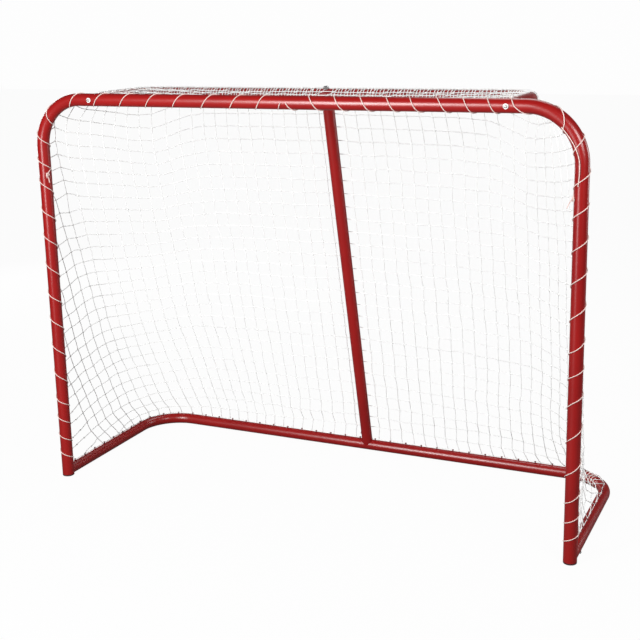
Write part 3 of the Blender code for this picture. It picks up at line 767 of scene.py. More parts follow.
washer_top = REAR_BAR - DOWN * (BASE_R + GAP + 0.0016)
profile = [(0, 0.0044), (0, 0.0085), (0.0014, 0.0085), (0.0016, 0.0083), (0.0016, 0.0044)]
mesh = ring_mesh("middle_washer", washer_top, DOWN, X, profile)
put("middle_washer", mesh, zinc_plate, "plated_steel", "centre_bolt_washer")
profile = [
    (0.0000, 0.0052),
    (0.0002, 0.0059),
    (0.0008, 0.0064, hexagon),
    (0.0012, 0.0065, hexagon),
    (0.0053, 0.0065, hexagon),
    *threaded(0.0053, 0.0613, 0.004, 0.0018),
]
start = washer_top - DOWN * (GAP + 0.0053)
mesh = turned_mesh("middle_hex_bolt", start, DOWN, X, profile)
put("middle_hex_bolt", mesh, zinc_plate, "plated_steel", "centre_bolt")
print("turned pieces:", pieces_ending("_screw", "_bolt", "_washer", "_foot"))

# %% [markdown]
# The sleeves, stubs and threaded plugs inside the tubes are already the right shape in the engineering model.
# They keep their meshes and only get a real metal finish.

# %% Finish for the parts inside the tubes
inside_parts = ["crossbar_sleeve", "base_sleeve", "left_foot_spigot", "right_foot_spigot", "centre_spigot"]
inside_parts += ["left_arm_insert", "right_arm_insert", "centre_tube_insert"]
for name in inside_parts:
    for place in nodes[name].material_slots:
        place.material = zinc_plate
print("parts inside the tubes:", len(inside_parts))

# %% [markdown]
# ## Lacing cord
#
# One cord climbs each post in a spiral, and another goes along each half of the crossbar. A spiral modifier
# would space the turns evenly, but a hand laces unevenly, so the places where each turn crosses the front of the
# tube were measured along the frame and the cord is led through them. The line is then swept with a round
# section, and each corner keeps how far along and round the cord it is for the twist in the finish.

# %% Sweeping a cord along a line


def swept(lines, radius, sides):
    """Corners, faces and the along and around values of round strands that follow the lines."""
    places, faces, along, around = [], [], [], []
    angles = 2 * math.pi * np.arange(sides) / sides
    for line in lines:
        line = np.asarray(line, float)
        steps = np.diff(line, axis=0)
        lengths = np.linalg.norm(steps, axis=1)
        steps = steps / lengths[:, None]
        ways = np.vstack([steps[:1], steps[1:] + steps[:-1], steps[-1:]])
        ways /= np.linalg.norm(ways, axis=1)[:, None]
        travelled = np.concatenate([[0], np.cumsum(lengths)])
        top = np.cross(ways[0], (0.31, 0.27, 0.91))  # any way that no line here starts in
        first = len(places) * sides
        for k, (place, way) in enumerate(zip(line, ways)):
            top = top - way * np.dot(top, way)
            top /= np.linalg.norm(top)
            side = np.cross(way, top)
            places.append(place + radius * (np.outer(np.cos(angles), top) + np.outer(np.sin(angles), side)))
            if k:
                low, high = first + (k - 1) * sides, first + k * sides
                for i in range(sides):
                    j = (i + 1) % sides
                    faces.append((low + i, low + j, high + j, high + i))
                    along += [travelled[k - 1]] * 2 + [travelled[k]] * 2
                    around += [i / sides, (i + 1) / sides, (i + 1) / sides, i / sides]
        for base, order in ((first, range(sides - 1, -1, -1)), (first + (len(line) - 1) * sides, range(sides))):
            faces.append(tuple(base + i for i in order))
            along += [travelled[-1]] * sides
            around += [0.0] * sides
    return np.vstack(places), faces, along, around


def cord_mesh(name, places, faces, along, around):
    """A smooth mesh that keeps the along and around values at its faces' corners."""
    mesh = bpy.data.meshes.new(name)
    mesh.from_pydata([tuple(p) for p in places], [], faces)
    for label, values in (("along", along), ("around", around)):
        mesh.attributes.new(label, "FLOAT", "CORNER").data.foreach_set("value", values)
    mesh.shade_smooth()
    return mesh


def cord_piece(name, lines, radius, sides, finish, slot, *stands_for):
    put(name, cord_mesh(name, *swept(lines, radius, sides)), finish, slot, *stands_for)


# %% Distances along the front frame
STRAIGHT, CORNER_X = BAR_Z - FRONT_BEND, POST_X - FRONT_BEND
QUARTER = STRAIGHT + FRONT_BEND * math.pi / 2  # distance from the floor to the end of the bend


def up_post(height):
    """Distance from the floor along half of the front frame, to a height on the post or its bend."""
    if height < STRAIGHT:
        return height
    return STRAIGHT + FRONT_BEND * math.asin((height - STRAIGHT) / FRONT_BEND)


def out_crossbar(x):
    """The same distance, to a place that far from the middle on the crossbar or its bend."""
    if abs(x) < CORNER_X:
        return QUARTER + CORNER_X - abs(x)
    return QUARTER - FRONT_BEND * (math.pi / 2 - math.acos((abs(x) - CORNER_X) / FRONT_BEND))


def on_front_frame(distance):
    """The right half's axis at that distance, and the way that points out of the frame there."""
    if distance < STRAIGHT:
        return Vector((POST_X, FRONT_Y, distance)), X
    if distance < QUARTER:
        bend = (distance - STRAIGHT) / FRONT_BEND
        out = X * math.cos(bend) + Z * math.sin(bend)
        return Vector((CORNER_X, FRONT_Y, STRAIGHT)) + FRONT_BEND * out, out
    return Vector((CORNER_X - (distance - QUARTER), FRONT_Y, BAR_Z)), Z


print(f"half the front frame is {out_crossbar(0):.3f} m long")

# %% Where the cord crosses the front of the tubes
# heights on the posts and their bends, and places out along the crossbar, on the left and the right half
post_turns = {
    -1: [0.072, 0.124, 0.179, 0.234, 0.313, 0.394, 0.474, 0.547, 0.632, 0.715, 0.789, 0.868],
    1: [0.067, 0.114, 0.166, 0.240, 0.328, 0.415, 0.481, 0.542, 0.626, 0.709, 0.785, 0.864],
}
bend_turns = {-1: [0.929, 0.996, 1.057], 1: [0.936, 1.016, 1.064]}
bar_turns = {
    -1: [-0.628, -0.549, -0.466, -0.385, -0.303, -0.216, -0.134, -0.060, 0.000],
    1: [0.591, 0.535, 0.478, 0.417, 0.347, 0.289, 0.222, 0.154, 0.087, 0.015],
}
KNOT_AT = 0.895  # distance from the floor to the knots between the cords
for sign, side in SIDE_NAMES.items():
    over_top = len(bend_turns[sign] + bar_turns[sign])
    print(f"{side} half: {len(post_turns[sign])} turns up the post and {over_top} over the top")

# %% Spirals, knots and tails
CORD_R = 0.0011
CORD_RING = FRONT_R + GAP + CORD_R  # from the tube's axis to the cord's
TURN_POINTS = 28


def spiral(sign, stations, first, last):
    """A cord's line from one turn to another, crossing the front at each station."""
    turns = np.arange(len(stations))
    line = []
    for turn in np.linspace(first, last, round((last - first) * TURN_POINTS) + 1):
        ahead = max(0.0, turn - turns[-1]) * (stations[-1] - stations[-2])
        behind = min(0.0, turn) * (stations[1] - stations[0])
        place, out = on_front_frame(float(np.interp(turn, turns, stations)) + ahead + behind)
        swing = 2 * math.pi * turn
        place = place + CORD_RING * (out * math.sin(swing) - Y * math.cos(swing))
        line.append((sign * place.x, place.y, place.z))
    return line


def overhand_knot(place, way, up, size):
    """The line of an overhand knot, as a trefoil squashed against the tube."""
    side = way.cross(up).normalized()
    line = []
    for t in np.linspace(0, 2 * math.pi, 40):
        a, b, c = math.sin(t) + 2 * math.sin(2 * t), math.cos(t) - 2 * math.cos(2 * t), -math.sin(3 * t)
        line.append(tuple(place + size / 3 * (a * up + b * side) + CORD_R * 0.9 * c * way))
    return line


def tail(start, way, droop, length):
    """A short end of cord that leaves in one way and droops."""
    return [tuple(start + way * length * t + droop * length * t * t) for t in np.linspace(0, 1, 8)]


# %% Lacing the posts and the crossbar
cord_lines = {}
for sign, side in SIDE_NAMES.items():
    post = spiral(sign, [up_post(z) for z in post_turns[sign]], -0.35, len(post_turns[sign]) - 0.72)
    bar_stations = [up_post(z) for z in bend_turns[sign]] + [out_crossbar(x) for x in bar_turns[sign]]
    bar = spiral(sign, bar_stations, -0.28, len(bar_stations) - 1)
    place, _ = on_front_frame(KNOT_AT)
    place = Vector((sign * place.x, place.y, place.z))
    out_way = (X * -sign * 0.8 - Y * 0.6).normalized()
    knot_place = place + out_way * (CORD_RING + 0.0018)
    knotted = overhand_knot(knot_place, out_way, Z, 0.0052)
    ends = [
        [post[-1], tuple(knot_place - Z * 0.003)],
        [tuple(knot_place + Z * 0.003), bar[0]],
        tail(knot_place, (out_way + Z * -0.4).normalized(), Vector((0, 0, -0.9)), 0.016),
        tail(knot_place, (out_way * 0.6 + Y * -0.5 + Z * 0.2).normalized(), Vector((0, 0, -0.8)), 0.013),
    ]
    post_ends, bar_ends = [ends[0], knotted, *ends[2:]], [ends[1]]
    cord_lines[side] = (post, post_ends, bar, bar_ends)
    length = sum(math.dist(a, b) for line in (post, bar) for a, b in zip(line, line[1:]))
    print(f"{side} lacing: {length:.2f} m of cord")

# %% Cord pieces
CORD_SIDES = 10
spare = []  # the right cord's spare end, which runs down the front of the post from the bend
for distance in np.linspace(up_post(1.064), 0.925, 40):
    place, out = on_front_frame(float(distance))
    around = 0.35 + 0.25 * math.sin(distance * 31)  # it wavers a little from side to side
    place = place + (CORD_RING + 0.0006) * (-out * math.sin(around) - Y * math.cos(around))
    spare.append(tuple(place))
cord_lines["right"][3].append(spare)
for side, (post, post_ends, bar, bar_ends) in cord_lines.items():
    for part, lines in ((side + "_post", [post, *post_ends]), (side + "_crossbar", [bar, *bar_ends])):
        cord_piece(part + "_cord", lines, CORD_R, CORD_SIDES, lacing_cord, "lacing_cord", part + "_lace")
print("cords:", pieces_ending("_cord"))

# %% [markdown]
# ## Where the net starts
#
# The net's foot is caught on pegs along the top of the base tubes. Its place is kept as one line in plan, from
# the middle of the back bar round the rear bend to the post, and distances are measured along it.

# %% Line of the net's foot
MESH = 0.0381
PEG_TOP = 2 * BASE_R + 0.0035  # height of the net's border on the pegs


def base_line():
    """The right half of the base tube's axis in plan, from the goal's middle round to the post."""
    corners = [BACK_BAR.copy(), Vector((POST_X, BACK_BAR.y, BASE_R)), Vector((POST_X, FRONT_Y + FRONT_R, BASE_R))]
    return np.array([tuple(p) for p in rounded_line(corners, BASE_BEND)])


def travelled_along(line):
    """The distance travelled at each point of a line."""
    return np.concatenate([[0], np.cumsum(np.linalg.norm(np.diff(line, axis=0), axis=1))])


def at_distance(line, distance):
    """The point that far along a line."""
    travelled = travelled_along(line)
    return np.array([np.interp(distance, travelled, line[:, k]) for k in range(line.shape[1])])


half_base = base_line()
half_length = travelled_along(half_base)[-1]
print(f"half the base is {half_length:.3f} m long")

# %% [markdown]
# ## The net
#
# The real net is one flat rectangle of knotted twine, wrapped round the back and both sides, folded over the
# rear top bar and carried forward to the crossbar. A picture of a net on a sheet would look flat from close by,
# so every twine is modelled. The surface that it is stretched over is the frame's outer hull, so that comes
# first: at each height, points between the bars below and above are gathered, and the outline round them is
# where a tight net lies.

# %% Where the net hangs and is tied
TOP_Z = BAR_Z + 0.003  # height of the outline round the top
TWINE_R = 0.00105
TIE_R = FRONT_R + 0.0022  # from the front tube's axis to where the net is tied


def tie_place(distance):
    """Where the net is tied to the right half of the front frame, just behind the tube."""
    place, out = on_front_frame(distance)
    return np.array(place + (Y * 0.93 + out * 0.37) * TIE_R)


corners = [REAR_BAR.copy(), REAR_BAR + X * ARM_X, Vector((ARM_X, FRONT_Y + FRONT_R, BAR_Z))]
half_top = np.array([tuple(p) for p in rounded_line(corners, TOP_BEND)])
outwards = np.diff(half_top, axis=0)
outwards = np.vstack([outwards, outwards[-1:]])[:, [1, 0]] * (-1, 1)
outwards /= np.linalg.norm(outwards, axis=1)[:, None]
hung_top = half_top.copy()
hung_top[:, :2] += outwards * np.sign((outwards @ (0.3, 1)))[:, None] * (BASE_R + 0.0012)
hung_top[:, 2] = TOP_Z
tie_line = np.array([tie_place(d) for d in np.linspace(PEG_TOP, up_post(BAR_Z - 0.0001) + 0.5, 90)])
post_ties = tie_line[:60]  # the part that climbs, where a height finds its place
print(f"the net lies over {2 * travelled_along(half_top)[-1]:.3f} m of bar at the top")

# %% Outline of the tight net at one height


def dense(line, step=0.02):
    """The line with points at least that close together."""
    travelled = travelled_along(line)
    return np.array([at_distance(line, d) for d in np.linspace(0, travelled[-1], int(travelled[-1] / step) + 2)])


def outline_at(height, low, high, front):
    """The right half of the level outline at a height, from the goal's middle round to the front frame."""
    below = np.vstack([low, front[front[:, 2] <= height]])
    above = np.vstack([high, front[front[:, 2] > height]])
    a, b = below[:, None, :], above[None, :, :]
    share = (height - a[..., 2]) / (b[..., 2] - a[..., 2])
    points = (a[..., :2] + (b - a)[..., :2] * share[..., None]).reshape(-1, 2)
    points = sorted(set(map(tuple, np.round(points, 5))), key=lambda p: (p[0], -p[1]))
    chain = []
    for p in points:
        while len(chain) > 1:
            (ax, ay), (bx, by) = chain[-2:]
            if (bx - ax) * (p[1] - ay) - (by - ay) * (p[0] - ax) < 0:
                break
            chain.pop()
        chain.append(p)
    return np.array(chain)


def eased(line, cut):
    """The outline with its corners cut, as each point becomes the mean of the line up to that far either way."""
    full = travelled_along(line)[-1]
    eased_line = []
    for distance in np.linspace(0, full, 60):
        span = min(cut, full - distance)
        near = distance + np.linspace(-span, span, 9)
        stretch = np.array([at_distance(line, abs(d)) for d in near])
        stretch[:, 0] *= np.sign(near + 1e-9)  # past the goal's middle the line goes on as its mirror image
        eased_line.append(stretch.mean(axis=0))
    return np.array(eased_line)


# %% Outlines at all heights
foot_line = half_base.copy()
foot_line[:, 2] = PEG_TOP
low_points, high_points = dense(foot_line), dense(hung_top)
heights = np.linspace(PEG_TOP + 0.001, TOP_Z - 0.003, 72)
outlines = {-1: [], 1: []}
CORNER_CUT = {-1: 0.12, 1: 0.31}  # the right rear corner is drawn in further, where the net is lashed
CUT_FADES = 0.11, 0.3  # the cut fades out over these heights above the pegs and below the top
for height in heights:
    chain = outline_at(height, low_points, high_points, tie_line)
    front = np.array([np.interp(height, post_ties[:, 2], post_ties[:, k]) for k in range(2)])
    line = np.vstack([chain[chain[:, 1] > front[1] + 0.004], front])
    share = np.clip((height - PEG_TOP) / CUT_FADES[0], 0, 1) * np.clip((TOP_Z - height) / CUT_FADES[1], 0, 1)
    for sign, cut in CORNER_CUT.items():
        outlines[sign].append(eased(line, cut * share))
reach = {sign: [travelled_along(line)[-1] for line in lines] for sign, lines in outlines.items()}
print(f"the net is {sum(r[0] for r in reach.values()):.3f} m round at its foot", end=" ")
print(f"and {sum(r[-1] for r in reach.values()):.3f} m at the top")

# %% [markdown]
# The net's own grid is then laid over that surface as the cloth of a tent would be. On the back its columns
# stand upright and its rows are level. From each post down to the rear bend the surface folds, and in front of
# that fold the rows run down to the front at the fold's own slant, so the meshes stay square but tilt. Rows that
# reach the post are tied to it, and those that run into the rail end there. Under the rear corners of the top
# bar the real net hangs lower, so the rows dip there.

# %% Measures of the grid
ROWS = 29  # meshes from the pegs to the top of the rear top bar
ROOF_ROWS = 7  # from there to the crossbar
row_rise = (BAR_Z + 0.023 - PEG_TOP) / ROWS
FOLD_TOP = 0.93  # height at which the fold reaches the post
FOLD_FOOT = 0.43  # from the post to the foot of the fold
FOLD_WIDTH = 0.08  # along a row, over which the fold is rounded
fold_slant = math.atan2(FOLD_FOOT, FOLD_TOP - PEG_TOP)
UPRIGHT_FROM = 0.95  # height from which the columns run straight up to the top bar's arms
TOP_CORNER = 0.57  # along a row, from the middle of the back to the top bar's corner
DIPS = {-1: 0.046, 1: 0.048}  # how far the rows hang down under that corner
FOOT_SHIFTS = {-1: 0.06, 1: 0.035}  # how far the columns' feet are pulled towards the goal's middle
print(f"{ROWS} rows of meshes up the back, {row_rise * 1000:.1f} mm apart, and {ROOF_ROWS} over the roof")

# %% Laying the grid over the surface


def on_net(sign, distance, height):
    """The point of that half of the tight net at a height, that far round from the middle of the back.

    It is given as if on the right.
    """
    at = float(np.clip(np.interp(height, heights, range(len(heights))), 0, len(heights) - 1.001))
    k, share = int(at), at - int(at)
    low, high = (at_distance(line, distance) for line in outlines[sign][k : k + 2])
    return np.array([*(low * (1 - share) + high * share), height])


def reach_at(sign, height):
    return float(np.interp(height, heights, reach[sign]))


def dip(sign, distance, height):
    """How far the rows hang below level under the rear corner of the top bar."""
    corner = np.interp(height, [0.1, TOP_Z], [0.70, TOP_CORNER])
    width = (0.085 if sign < 0 else 0.07) if distance < corner else 0.20
    fade = np.clip((height - 0.1) / 0.95, 0, 1)
    return DIPS[sign] * fade * math.exp(-(((distance - corner) / width) ** 2))


def drawn_in(sign, along_row, height):
    """The distance along a row, less where the columns stand closer at the top of the net."""
    gathered = 0.5 * max(0.0, reach_at(sign, UPRIGHT_FROM) - reach_at(sign, height))
    return along_row - gathered * min(1, along_row / (TOP_CORNER + gathered))


def foot_shift(sign, along_row, height):
    """How far a column has come towards the middle of the back, low down where the pegs pull it."""
    return FOOT_SHIFTS[sign] * np.clip((along_row - 0.2) / 0.4, 0, 1) * np.clip(1 - height / 0.40, 0, 1)


def laid(sign, along_row, height):
    """(distance from the post, height) of the grid's point that far along the row of that height."""
    along_row = drawn_in(sign, along_row, height) - foot_shift(sign, along_row, height)
    to_post = FOLD_FOOT * max(0.0, 1 - (height - PEG_TOP) / (FOLD_TOP - PEG_TOP))
    fold = reach_at(sign, height) - to_post
    if along_row <= fold:
        # high up the rows climb a little again past the corner
        past_corner = np.clip((along_row - TOP_CORNER) / 0.25, 0, 1) * np.clip((height - 0.55) / 0.3, 0, 1)
        return reach_at(sign, height) - along_row, height - dip(sign, along_row, height) + 0.02 * past_corner
    over = along_row - fold
    turned = over * over / (2 * FOLD_WIDTH) if over < FOLD_WIDTH else over - FOLD_WIDTH / 2
    # near the floor the left side's rows slant less
    slant = fold_slant * (np.interp(height, [0.1, 0.65], [0.5, 1]) if sign < 0 else 1)
    lowered = height - turned * math.sin(slant) - dip(sign, fold, height) * max(0, 1 - over / 0.2)
    return to_post - over * math.cos(slant), lowered


def sided(sign, place):
    """The place on that side of the goal, from one on the right."""
    return np.array([sign * place[0], *place[1:]])


# %% Knots of the back and sides
MOST_COLUMNS = 40
POST_CLEAR, PEG_CLEAR = 0.014, 0.009  # a row ends when it comes this close to the post or the border
places, held, knots = [], [], {}


def knot(key, place, fixed=False):
    """Keeps a knot's place under its key, which is (column, row) or (where it is tied, side, row)."""
    knots[key] = len(places)
    places.append(np.array(place, float))
    held.append(fixed)
    return key


def on_post(sign, height):
    return sided(sign, [np.interp(height, post_ties[:, 2], post_ties[:, k]) for k in range(3)])


def on_base(sign, distance):
    x, y, _ = at_distance(half_base, distance)
    return sided(sign, (x, y, PEG_TOP))


row_heights = [PEG_TOP + row_rise * j for j in range(ROWS)]
row_keys = {}
for sign in SIDE_NAMES:
    for j, height in enumerate(row_heights[1:], 1):
        row = []
        for i in range(1, MOST_COLUMNS):
            to_post, lowered = laid(sign, i * MESH, height)
            if to_post < POST_CLEAR or lowered < PEG_TOP + PEG_CLEAR:
                break
            place = on_net(sign, reach_at(sign, lowered) - to_post, lowered)
            row.append(knot((sign * i, j), sided(sign, place)))
        if to_post < POST_CLEAR:
            row.append(knot(("post", sign, j), on_post(sign, min(lowered, BAR_Z - 0.004)), True))
        else:
            row.append(knot(("rail", sign, j), on_base(sign, half_length - 0.0015 - max(to_post, 0.012)), True))
        row_keys[sign, j] = row
for j, height in enumerate(row_heights[1:], 1):
    knot((0, j), on_net(1, 0, height))
print(len(places), "knots on the back and sides")

# %% [markdown]
# The net's border runs from peg to peg along the base, and each column ends on it. Behind the fold the feet
# are a little closer than the meshes above. In front of it each column runs on in its own line to the rail.

# %% Column feet
FOOT_SPACING = 0.025  # the least distance between two feet
last_column = max(key[0] for key in knots if isinstance(key[0], int))
knot((0, 0), on_base(1, 0), True)
for sign in SIDE_NAMES:
    last_foot = 0
    for i in range(1, last_column + 1):
        rows_here = [j for j in range(1, ROWS) if (sign * i, j) in knots]
        if not rows_here:
            continue
        distance = i * MESH - foot_shift(sign, i * MESH, 0)
        if rows_here[0] > 1 or distance > half_length - FOLD_FOOT:
            (_, y, z), (_, y_above, z_above) = (places[knots[sign * i, j]] for j in (rows_here * 2)[:2])
            slope = (y - y_above) / (z_above - z) if z_above > z else math.tan(fold_slant)
            distance = half_length - (y - FRONT_Y - FRONT_R + (z - PEG_TOP) * slope)
        distance = max(distance, last_foot + FOOT_SPACING)
        if distance < half_length - 0.008:
            knot((sign * i, 0), on_base(sign, distance), True)
            last_foot = distance
print("last foot", round(last_foot, 3), "m from the middle")

# %% [markdown]
# The top of the net lies over the rear top bar and its arms. Between the arms it goes on as the roof, and its
# last row is laced to the crossbar.

# %% Knots on the bars and the roof
ROOF_SAG = 0.012
crossbar_tie = Vector((0, FRONT_Y, BAR_Z)) + (Y * 0.8 + Z * 0.6) * TIE_R
top_length = travelled_along(half_top)[-1]
top_row = []
for i in range(-last_column, last_column + 1):
    sign, distance = (1 if i > 0 else -1), drawn_in(1, abs(i) * MESH, TOP_Z)
    if distance < top_length:
        x, y, _ = at_distance(half_top, distance)
        top_row.append(knot((i, ROWS), sided(sign, (x, y, BAR_Z + BASE_R + TWINE_R + 0.0004)), True))
roof_half = max(i for i in range(20) if drawn_in(1, i * MESH, TOP_Z) < ARM_X - BASE_R - 0.012)
for i in range(-roof_half, roof_half + 1):
    rear = places[knots[(i, ROWS)]]
    front = np.array([rear[0] * 1.01, crossbar_tie.y, crossbar_tie.z])
    for j in range(1, ROOF_ROWS + 1):
        share = j / ROOF_ROWS
        sag = ROOF_SAG * math.sin(math.pi * share)
        knot((i, ROWS + j), rear + (front - rear) * share - (0, 0, sag), j == ROOF_ROWS)
for sign in SIDE_NAMES:
    for j in range(1, ROOF_ROWS):
        y = places[knots[(0, ROWS + j)]][1]
        knot(("arm", sign, j), (sign * (ARM_X - 0.006), y, BAR_Z + BASE_R * 0.92 + 0.0016), True)
print(len(top_row), "columns cross the rear top bar, and", 2 * roof_half + 1, "run on over the roof")

# %% Twines through the knots
row_twines = [[knots[key] for key in ((i, 0) for i in range(-last_column, last_column + 1)) if key in knots]]
for j in range(1, ROWS):
    row_twines.append([knots[key] for key in [*row_keys[-1, j][::-1], (0, j), *row_keys[1, j]]])
row_twines.append([knots[key] for key in top_row])
for j in range(1, ROOF_ROWS + 1):
    row = [(i, ROWS + j) for i in range(-roof_half, roof_half + 1)]
    if j < ROOF_ROWS:
        row = [("arm", -1, j), *row, ("arm", 1, j)]
    row_twines.append([knots[key] for key in row])
column_twines = []
for i in range(-last_column, last_column + 1):
    there = [j for j in range(ROWS + ROOF_ROWS + 1) if (i, j) in knots]
    column = [knots[i, j] for j in there]
    above = ("post", 1 if i > 0 else -1, there[-1] + 1)
    if there[-1] < ROWS and above in knots:
        column.append(knots[above])
    if len(column) > 1:
        column_twines.append(column)
row_edges = [pair for twine in row_twines for pair in zip(twine, twine[1:])]
column_edges = [pair for twine in column_twines for pair in zip(twine, twine[1:])]
edges = np.array(row_edges + column_edges)
print(len(places), "knots,", len(edges), "sides of meshes")

# %% [markdown]
# Blender's cloth could settle the net, but it treats the twines as a skin and is slow to run each time. Only the
# knots matter here, so a few lines of position-based dynamics do it: each step lets the knots fall a little, then
# pulls every side of a mesh back towards its length and pushes knots out of the tubes. The rows are a little
# shorter than the surface they lie on, as the real net is laced up tight, so it draws in between the bars and
# rounds its rear corners. A seeded unevenness in the lengths gives slightly irregular meshes.

# %% Lengths of the mesh sides
ROW_TIGHTNESS, COLUMN_TIGHTNESS, UNEVENNESS = 0.972, 0.999, 0.012
random.seed(5)
spread = np.random.default_rng(5)
points = np.array(places)
fixed = np.array(held)
free = (~fixed).astype(float)
first, second = edges[:, 0], edges[:, 1]
lengths = np.linalg.norm(points[second] - points[first], axis=1)
lengths = lengths * (1 + spread.normal(0, UNEVENNESS, len(lengths)))
lengths[: len(row_edges)] *= ROW_TIGHTNESS
lengths[len(row_edges) :] *= COLUMN_TIGHTNESS
print(f"mesh sides are {lengths.mean() * 1000:.1f} mm at rest, on average")

# %% Keeping the net out of the tubes
tubes = []
for sign in SIDE_NAMES:
    lines = [(half_base, BASE_R), (np.vstack([half_top, half_top[-1] - (0, FRONT_R, 0)]), BASE_R)]
    stops = [0, *np.linspace(STRAIGHT, QUARTER, 13), out_crossbar(0)]
    axis = [tuple(on_front_frame(d)[0]) for d in stops]
    lines.append((np.array(axis), FRONT_R))
    for line, radius in lines:
        line = line * (sign, 1, 1)
        tubes += [(a, b, radius) for a, b in zip(line, line[1:])]
tubes.append((np.array(REAR_BAR), np.array(BACK_BAR), BASE_R))
starts, ends, radii = (np.array(column) for column in zip(*tubes))
print(len(tubes), "straight stretches stand for the tubes that the net meets")


def pushed_out(points, clearance):
    """The points, with those inside a tube moved straight out to its surface."""
    points = points.copy()
    for start, end, radius in zip(starts, ends, radii):
        way = end - start
        share = np.clip((points - start) @ way / (way @ way), 0, 1)
        off = points - start - share[:, None] * way
        far = np.linalg.norm(off, axis=1)
        inside = far < radius + clearance
        points[inside] += off[inside] * ((radius + clearance) / np.maximum(far[inside], 1e-6) - 1)[:, None]
    return points


# %% Settling the net
DAMPING = 0.8  # share of its speed that a knot keeps
EAGERNESS = 1.8  # how far a pull goes past the mean of what the sides at a knot ask for


def settle(points, steps, pulls, fall):
    """Lets the knots fall a little in each step and pulls the mesh sides back to length."""
    before = points.copy()
    share = free[first] + free[second]
    share[share == 0] = 1
    count = np.maximum(np.bincount(first, minlength=len(points)) + np.bincount(second, minlength=len(points)), 1)
    for _ in range(steps):
        speed = (points - before) * DAMPING
        before = points.copy()
        points = points + (speed + (0, 0, -fall)) * free[:, None]
        for _ in range(pulls):
            span = points[second] - points[first]
            length = np.linalg.norm(span, axis=1)
            stretch = length - lengths
            pull = span * (stretch / length / share)[:, None]
            move = np.zeros_like(points)
            np.add.at(move, first, pull)
            np.subtract.at(move, second, pull)
            points += move / count[:, None] * EAGERNESS * free[:, None]
        points = np.where(fixed[:, None], points, pushed_out(points, TWINE_R + 0.0002))
    return points


moved = settle(points, steps=60, pulls=12, fall=0.00002)
print(f"the knots moved {np.linalg.norm(moved - points, axis=1).max() * 1000:.1f} mm at most")
points = moved
span = np.linalg.norm(points[second] - points[first], axis=1)
print(f"mesh sides are {span.mean() * 1000:.1f} mm on average,", end=" ")
print(f"from {span.min() * 1000:.1f} to {span.max() * 1000:.1f}")

# %% [markdown]
# Twines run unbroken along each row and column, as they do in a knotted net, and a small lump marks each knot.
# Between knots each twine gets a few more points, which are pushed out of the tubes so that it bends over them.

# %% Twines and lumps
TWINE_SIDES = 4
TWINE_BOW = 0.0007  # how far a twine bows between two knots, as a rule
LUMP_SIZE, LUMP_CORNERS = 0.0022, 12
LUMP_CLEAR = 0.0016  # from a tube's surface to a lump's middle, at least
LUMP_FACES = [(0, 11, 5), (0, 5, 1), (0, 1, 7), (0, 7, 10), (0, 10, 11), (1, 5, 9), (5, 11, 4), (11, 10, 2)]
LUMP_FACES += [(10, 7, 6), (7, 1, 8), (3, 9, 4), (3, 4, 2), (3, 2, 6), (3, 6, 8), (3, 8, 9), (4, 9, 5)]
LUMP_FACES += [(2, 4, 11), (6, 2, 10), (8, 6, 7), (9, 8, 1)]


def twine_line(twine):
    """The points along a twine, closer together where it passes over a tube."""
    line = [points[twine[0]]]
    for a, b in zip(twine, twine[1:]):
        pieces = 6 if min(points[a][2], points[b][2]) > BAR_Z - 0.04 else 3
        bow = spread.normal(0, TWINE_BOW, 3)
        for k in range(1, pieces + 1):
            share = k / pieces
            line.append(points[a] + (points[b] - points[a]) * share + bow * math.sin(math.pi * share))
    return pushed_out(np.array(line), TWINE_R + 0.0001)


def lump(place, size):
    """A knot: a twelve-cornered lump, taller than wide, at a random turn."""
    g = (1 + 5**0.5) / 2
    corners = [(-1, g, 0), (1, g, 0), (-1, -g, 0), (1, -g, 0), (0, -1, g), (0, 1, g)]
    corners += [(0, -1, -g), (0, 1, -g), (g, 0, -1), (g, 0, 1), (-g, 0, -1), (-g, 0, 1)]
    turn = np.array(Matrix.Rotation(random.uniform(0, 6.28), 3, "Z"))
    shape = np.array(corners) / math.hypot(1, g) @ turn.T
    return place + shape * (size * 1.1, size, size * 1.35)


# %% The net as one mesh
lines = [twine_line(twine) for twine in row_twines + column_twines]
corners, faces, along, around = swept(lines, TWINE_R, TWINE_SIDES)
lumps = []
for place in pushed_out(points, LUMP_CLEAR):
    base = len(corners) + LUMP_CORNERS * len(lumps)
    lumps.append(lump(place, LUMP_SIZE))
    faces += [tuple(base + c for c in face) for face in LUMP_FACES]
no_twist = [0.0] * (3 * len(LUMP_FACES) * len(lumps))
along, around = along + no_twist, around + no_twist
mesh = cord_mesh("knotted_net", np.vstack([corners, *lumps]), faces, along, around)
put("knotted_net", mesh, net_twine, "netting", "back_net", "left_side_net", "right_side_net", "roof_net")
length = sum(travelled_along(line)[-1] for line in lines)
print(f"net: {len(lines)} twines, {length:.0f} m in all, {len(faces)} faces")

# %% [markdown]
# ## Pegs along the base
#
# The pegs are turned pieces as well, with a flared foot, a neck for the twine and a rounded head, set upright
# along the top of the base tubes, 50 mm apart.

# %% Pegs
PEG_PITCH = 0.050
PEG_PROFILE = [
    (-0.0009, 0.0026),
    (0.0002, 0.0030),
    (0.0010, 0.0022),
    (0.0016, 0.0015),
    (0.0032, 0.0014),
    (0.0034, 0.0026),
    (0.0042, 0.0031),
    (0.0052, 0.0028),
    (0.0058, 0.0016),
]

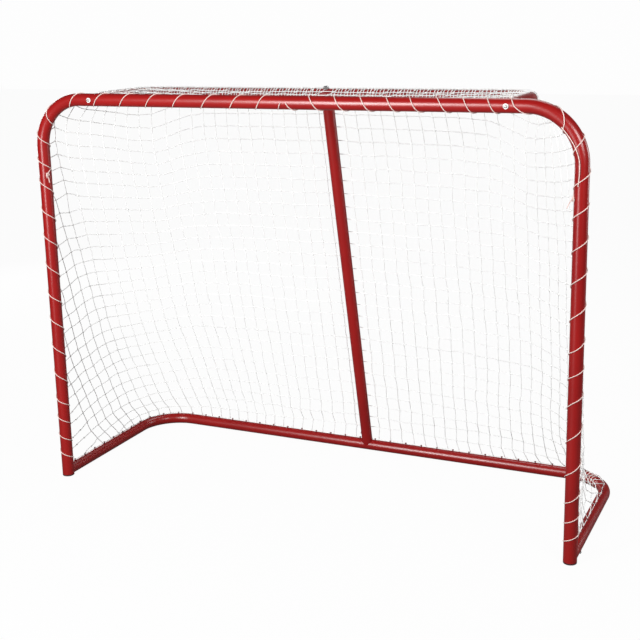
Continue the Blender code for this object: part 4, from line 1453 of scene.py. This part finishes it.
peg_distances = np.arange(PEG_PITCH / 2, half_length - 0.012, PEG_PITCH)
for sign, side in SIDE_NAMES.items():
    bm = bmesh.new()
    for distance in peg_distances:
        x, y, _ = at_distance(half_base, distance)
        turn_solid(bm, Vector((sign * x, y, 2 * BASE_R)), Z, X, PEG_PROFILE, 12)
    put(side + "_pegs", finished_mesh(side + "_pegs", bm), peg_plastic, "end_plug")
print(len(peg_distances), "pegs on each side")

# %% [markdown]
# The net is also lashed on. A cord is wound closely round the rear top bar, over the net, and at the right rear
# corner the end of the net's border is wound round the base tube eight times, which shows beside the right post.
# There it lies flat under the tube, where the tube rests on it.

# %% Cords wound round the bars
WOUND_POINTS = 14  # in each turn


def wound(line, stops, pitch, radius, lowest, unevenness=0.0006):
    """A cord wound round a level tube between two distances along its axis.

    Each turn drifts to its own place along the tube, and each point strays a little from that.
    """
    cord, drift = [], 0
    for k in range(int((stops[1] - stops[0]) / pitch * WOUND_POINTS) + 1):
        if k % WOUND_POINTS == 0:
            drift, last_drift = random.uniform(-1, 1) * unevenness * 2, drift
        drifted = last_drift + (drift - last_drift) * (k % WOUND_POINTS) / WOUND_POINTS
        astray = drifted + random.uniform(-1, 1) * unevenness
        distance, turn = stops[0] + pitch * k / WOUND_POINTS + astray, 2 * math.pi * k / WOUND_POINTS
        here, ahead = (Vector(at_distance(line, d)) for d in (distance, distance + 0.002))
        beside = Z.cross((ahead - here).normalized())
        place = here + (Z * math.cos(turn) + beside * math.sin(turn)) * radius
        cord.append((place.x, place.y, max(place.z, lowest)))
    return cord


base_axis = half_base * (1, 1, 0) + (0, 0, BASE_R)
winding = wound(base_axis, (0.628, 0.728), pitch=0.0125, radius=BASE_R + 0.0012, lowest=0.0013)
cord_piece("right_corner_winding", [winding], 0.0012, 8, lacing_cord, "lacing_cord")
for sign, side in SIDE_NAMES.items():
    top_axis, stops = half_top * (sign, 1, 1), (0.014, ARM_X + 0.04)
    winding = wound(top_axis, stops, pitch=0.0092, radius=BASE_R + 0.0026, lowest=0, unevenness=0.0009)
    cord_piece(side + "_top_winding", [winding], 0.0011, 6, net_twine, "netting")
print("windings:", pieces_ending("_winding"))
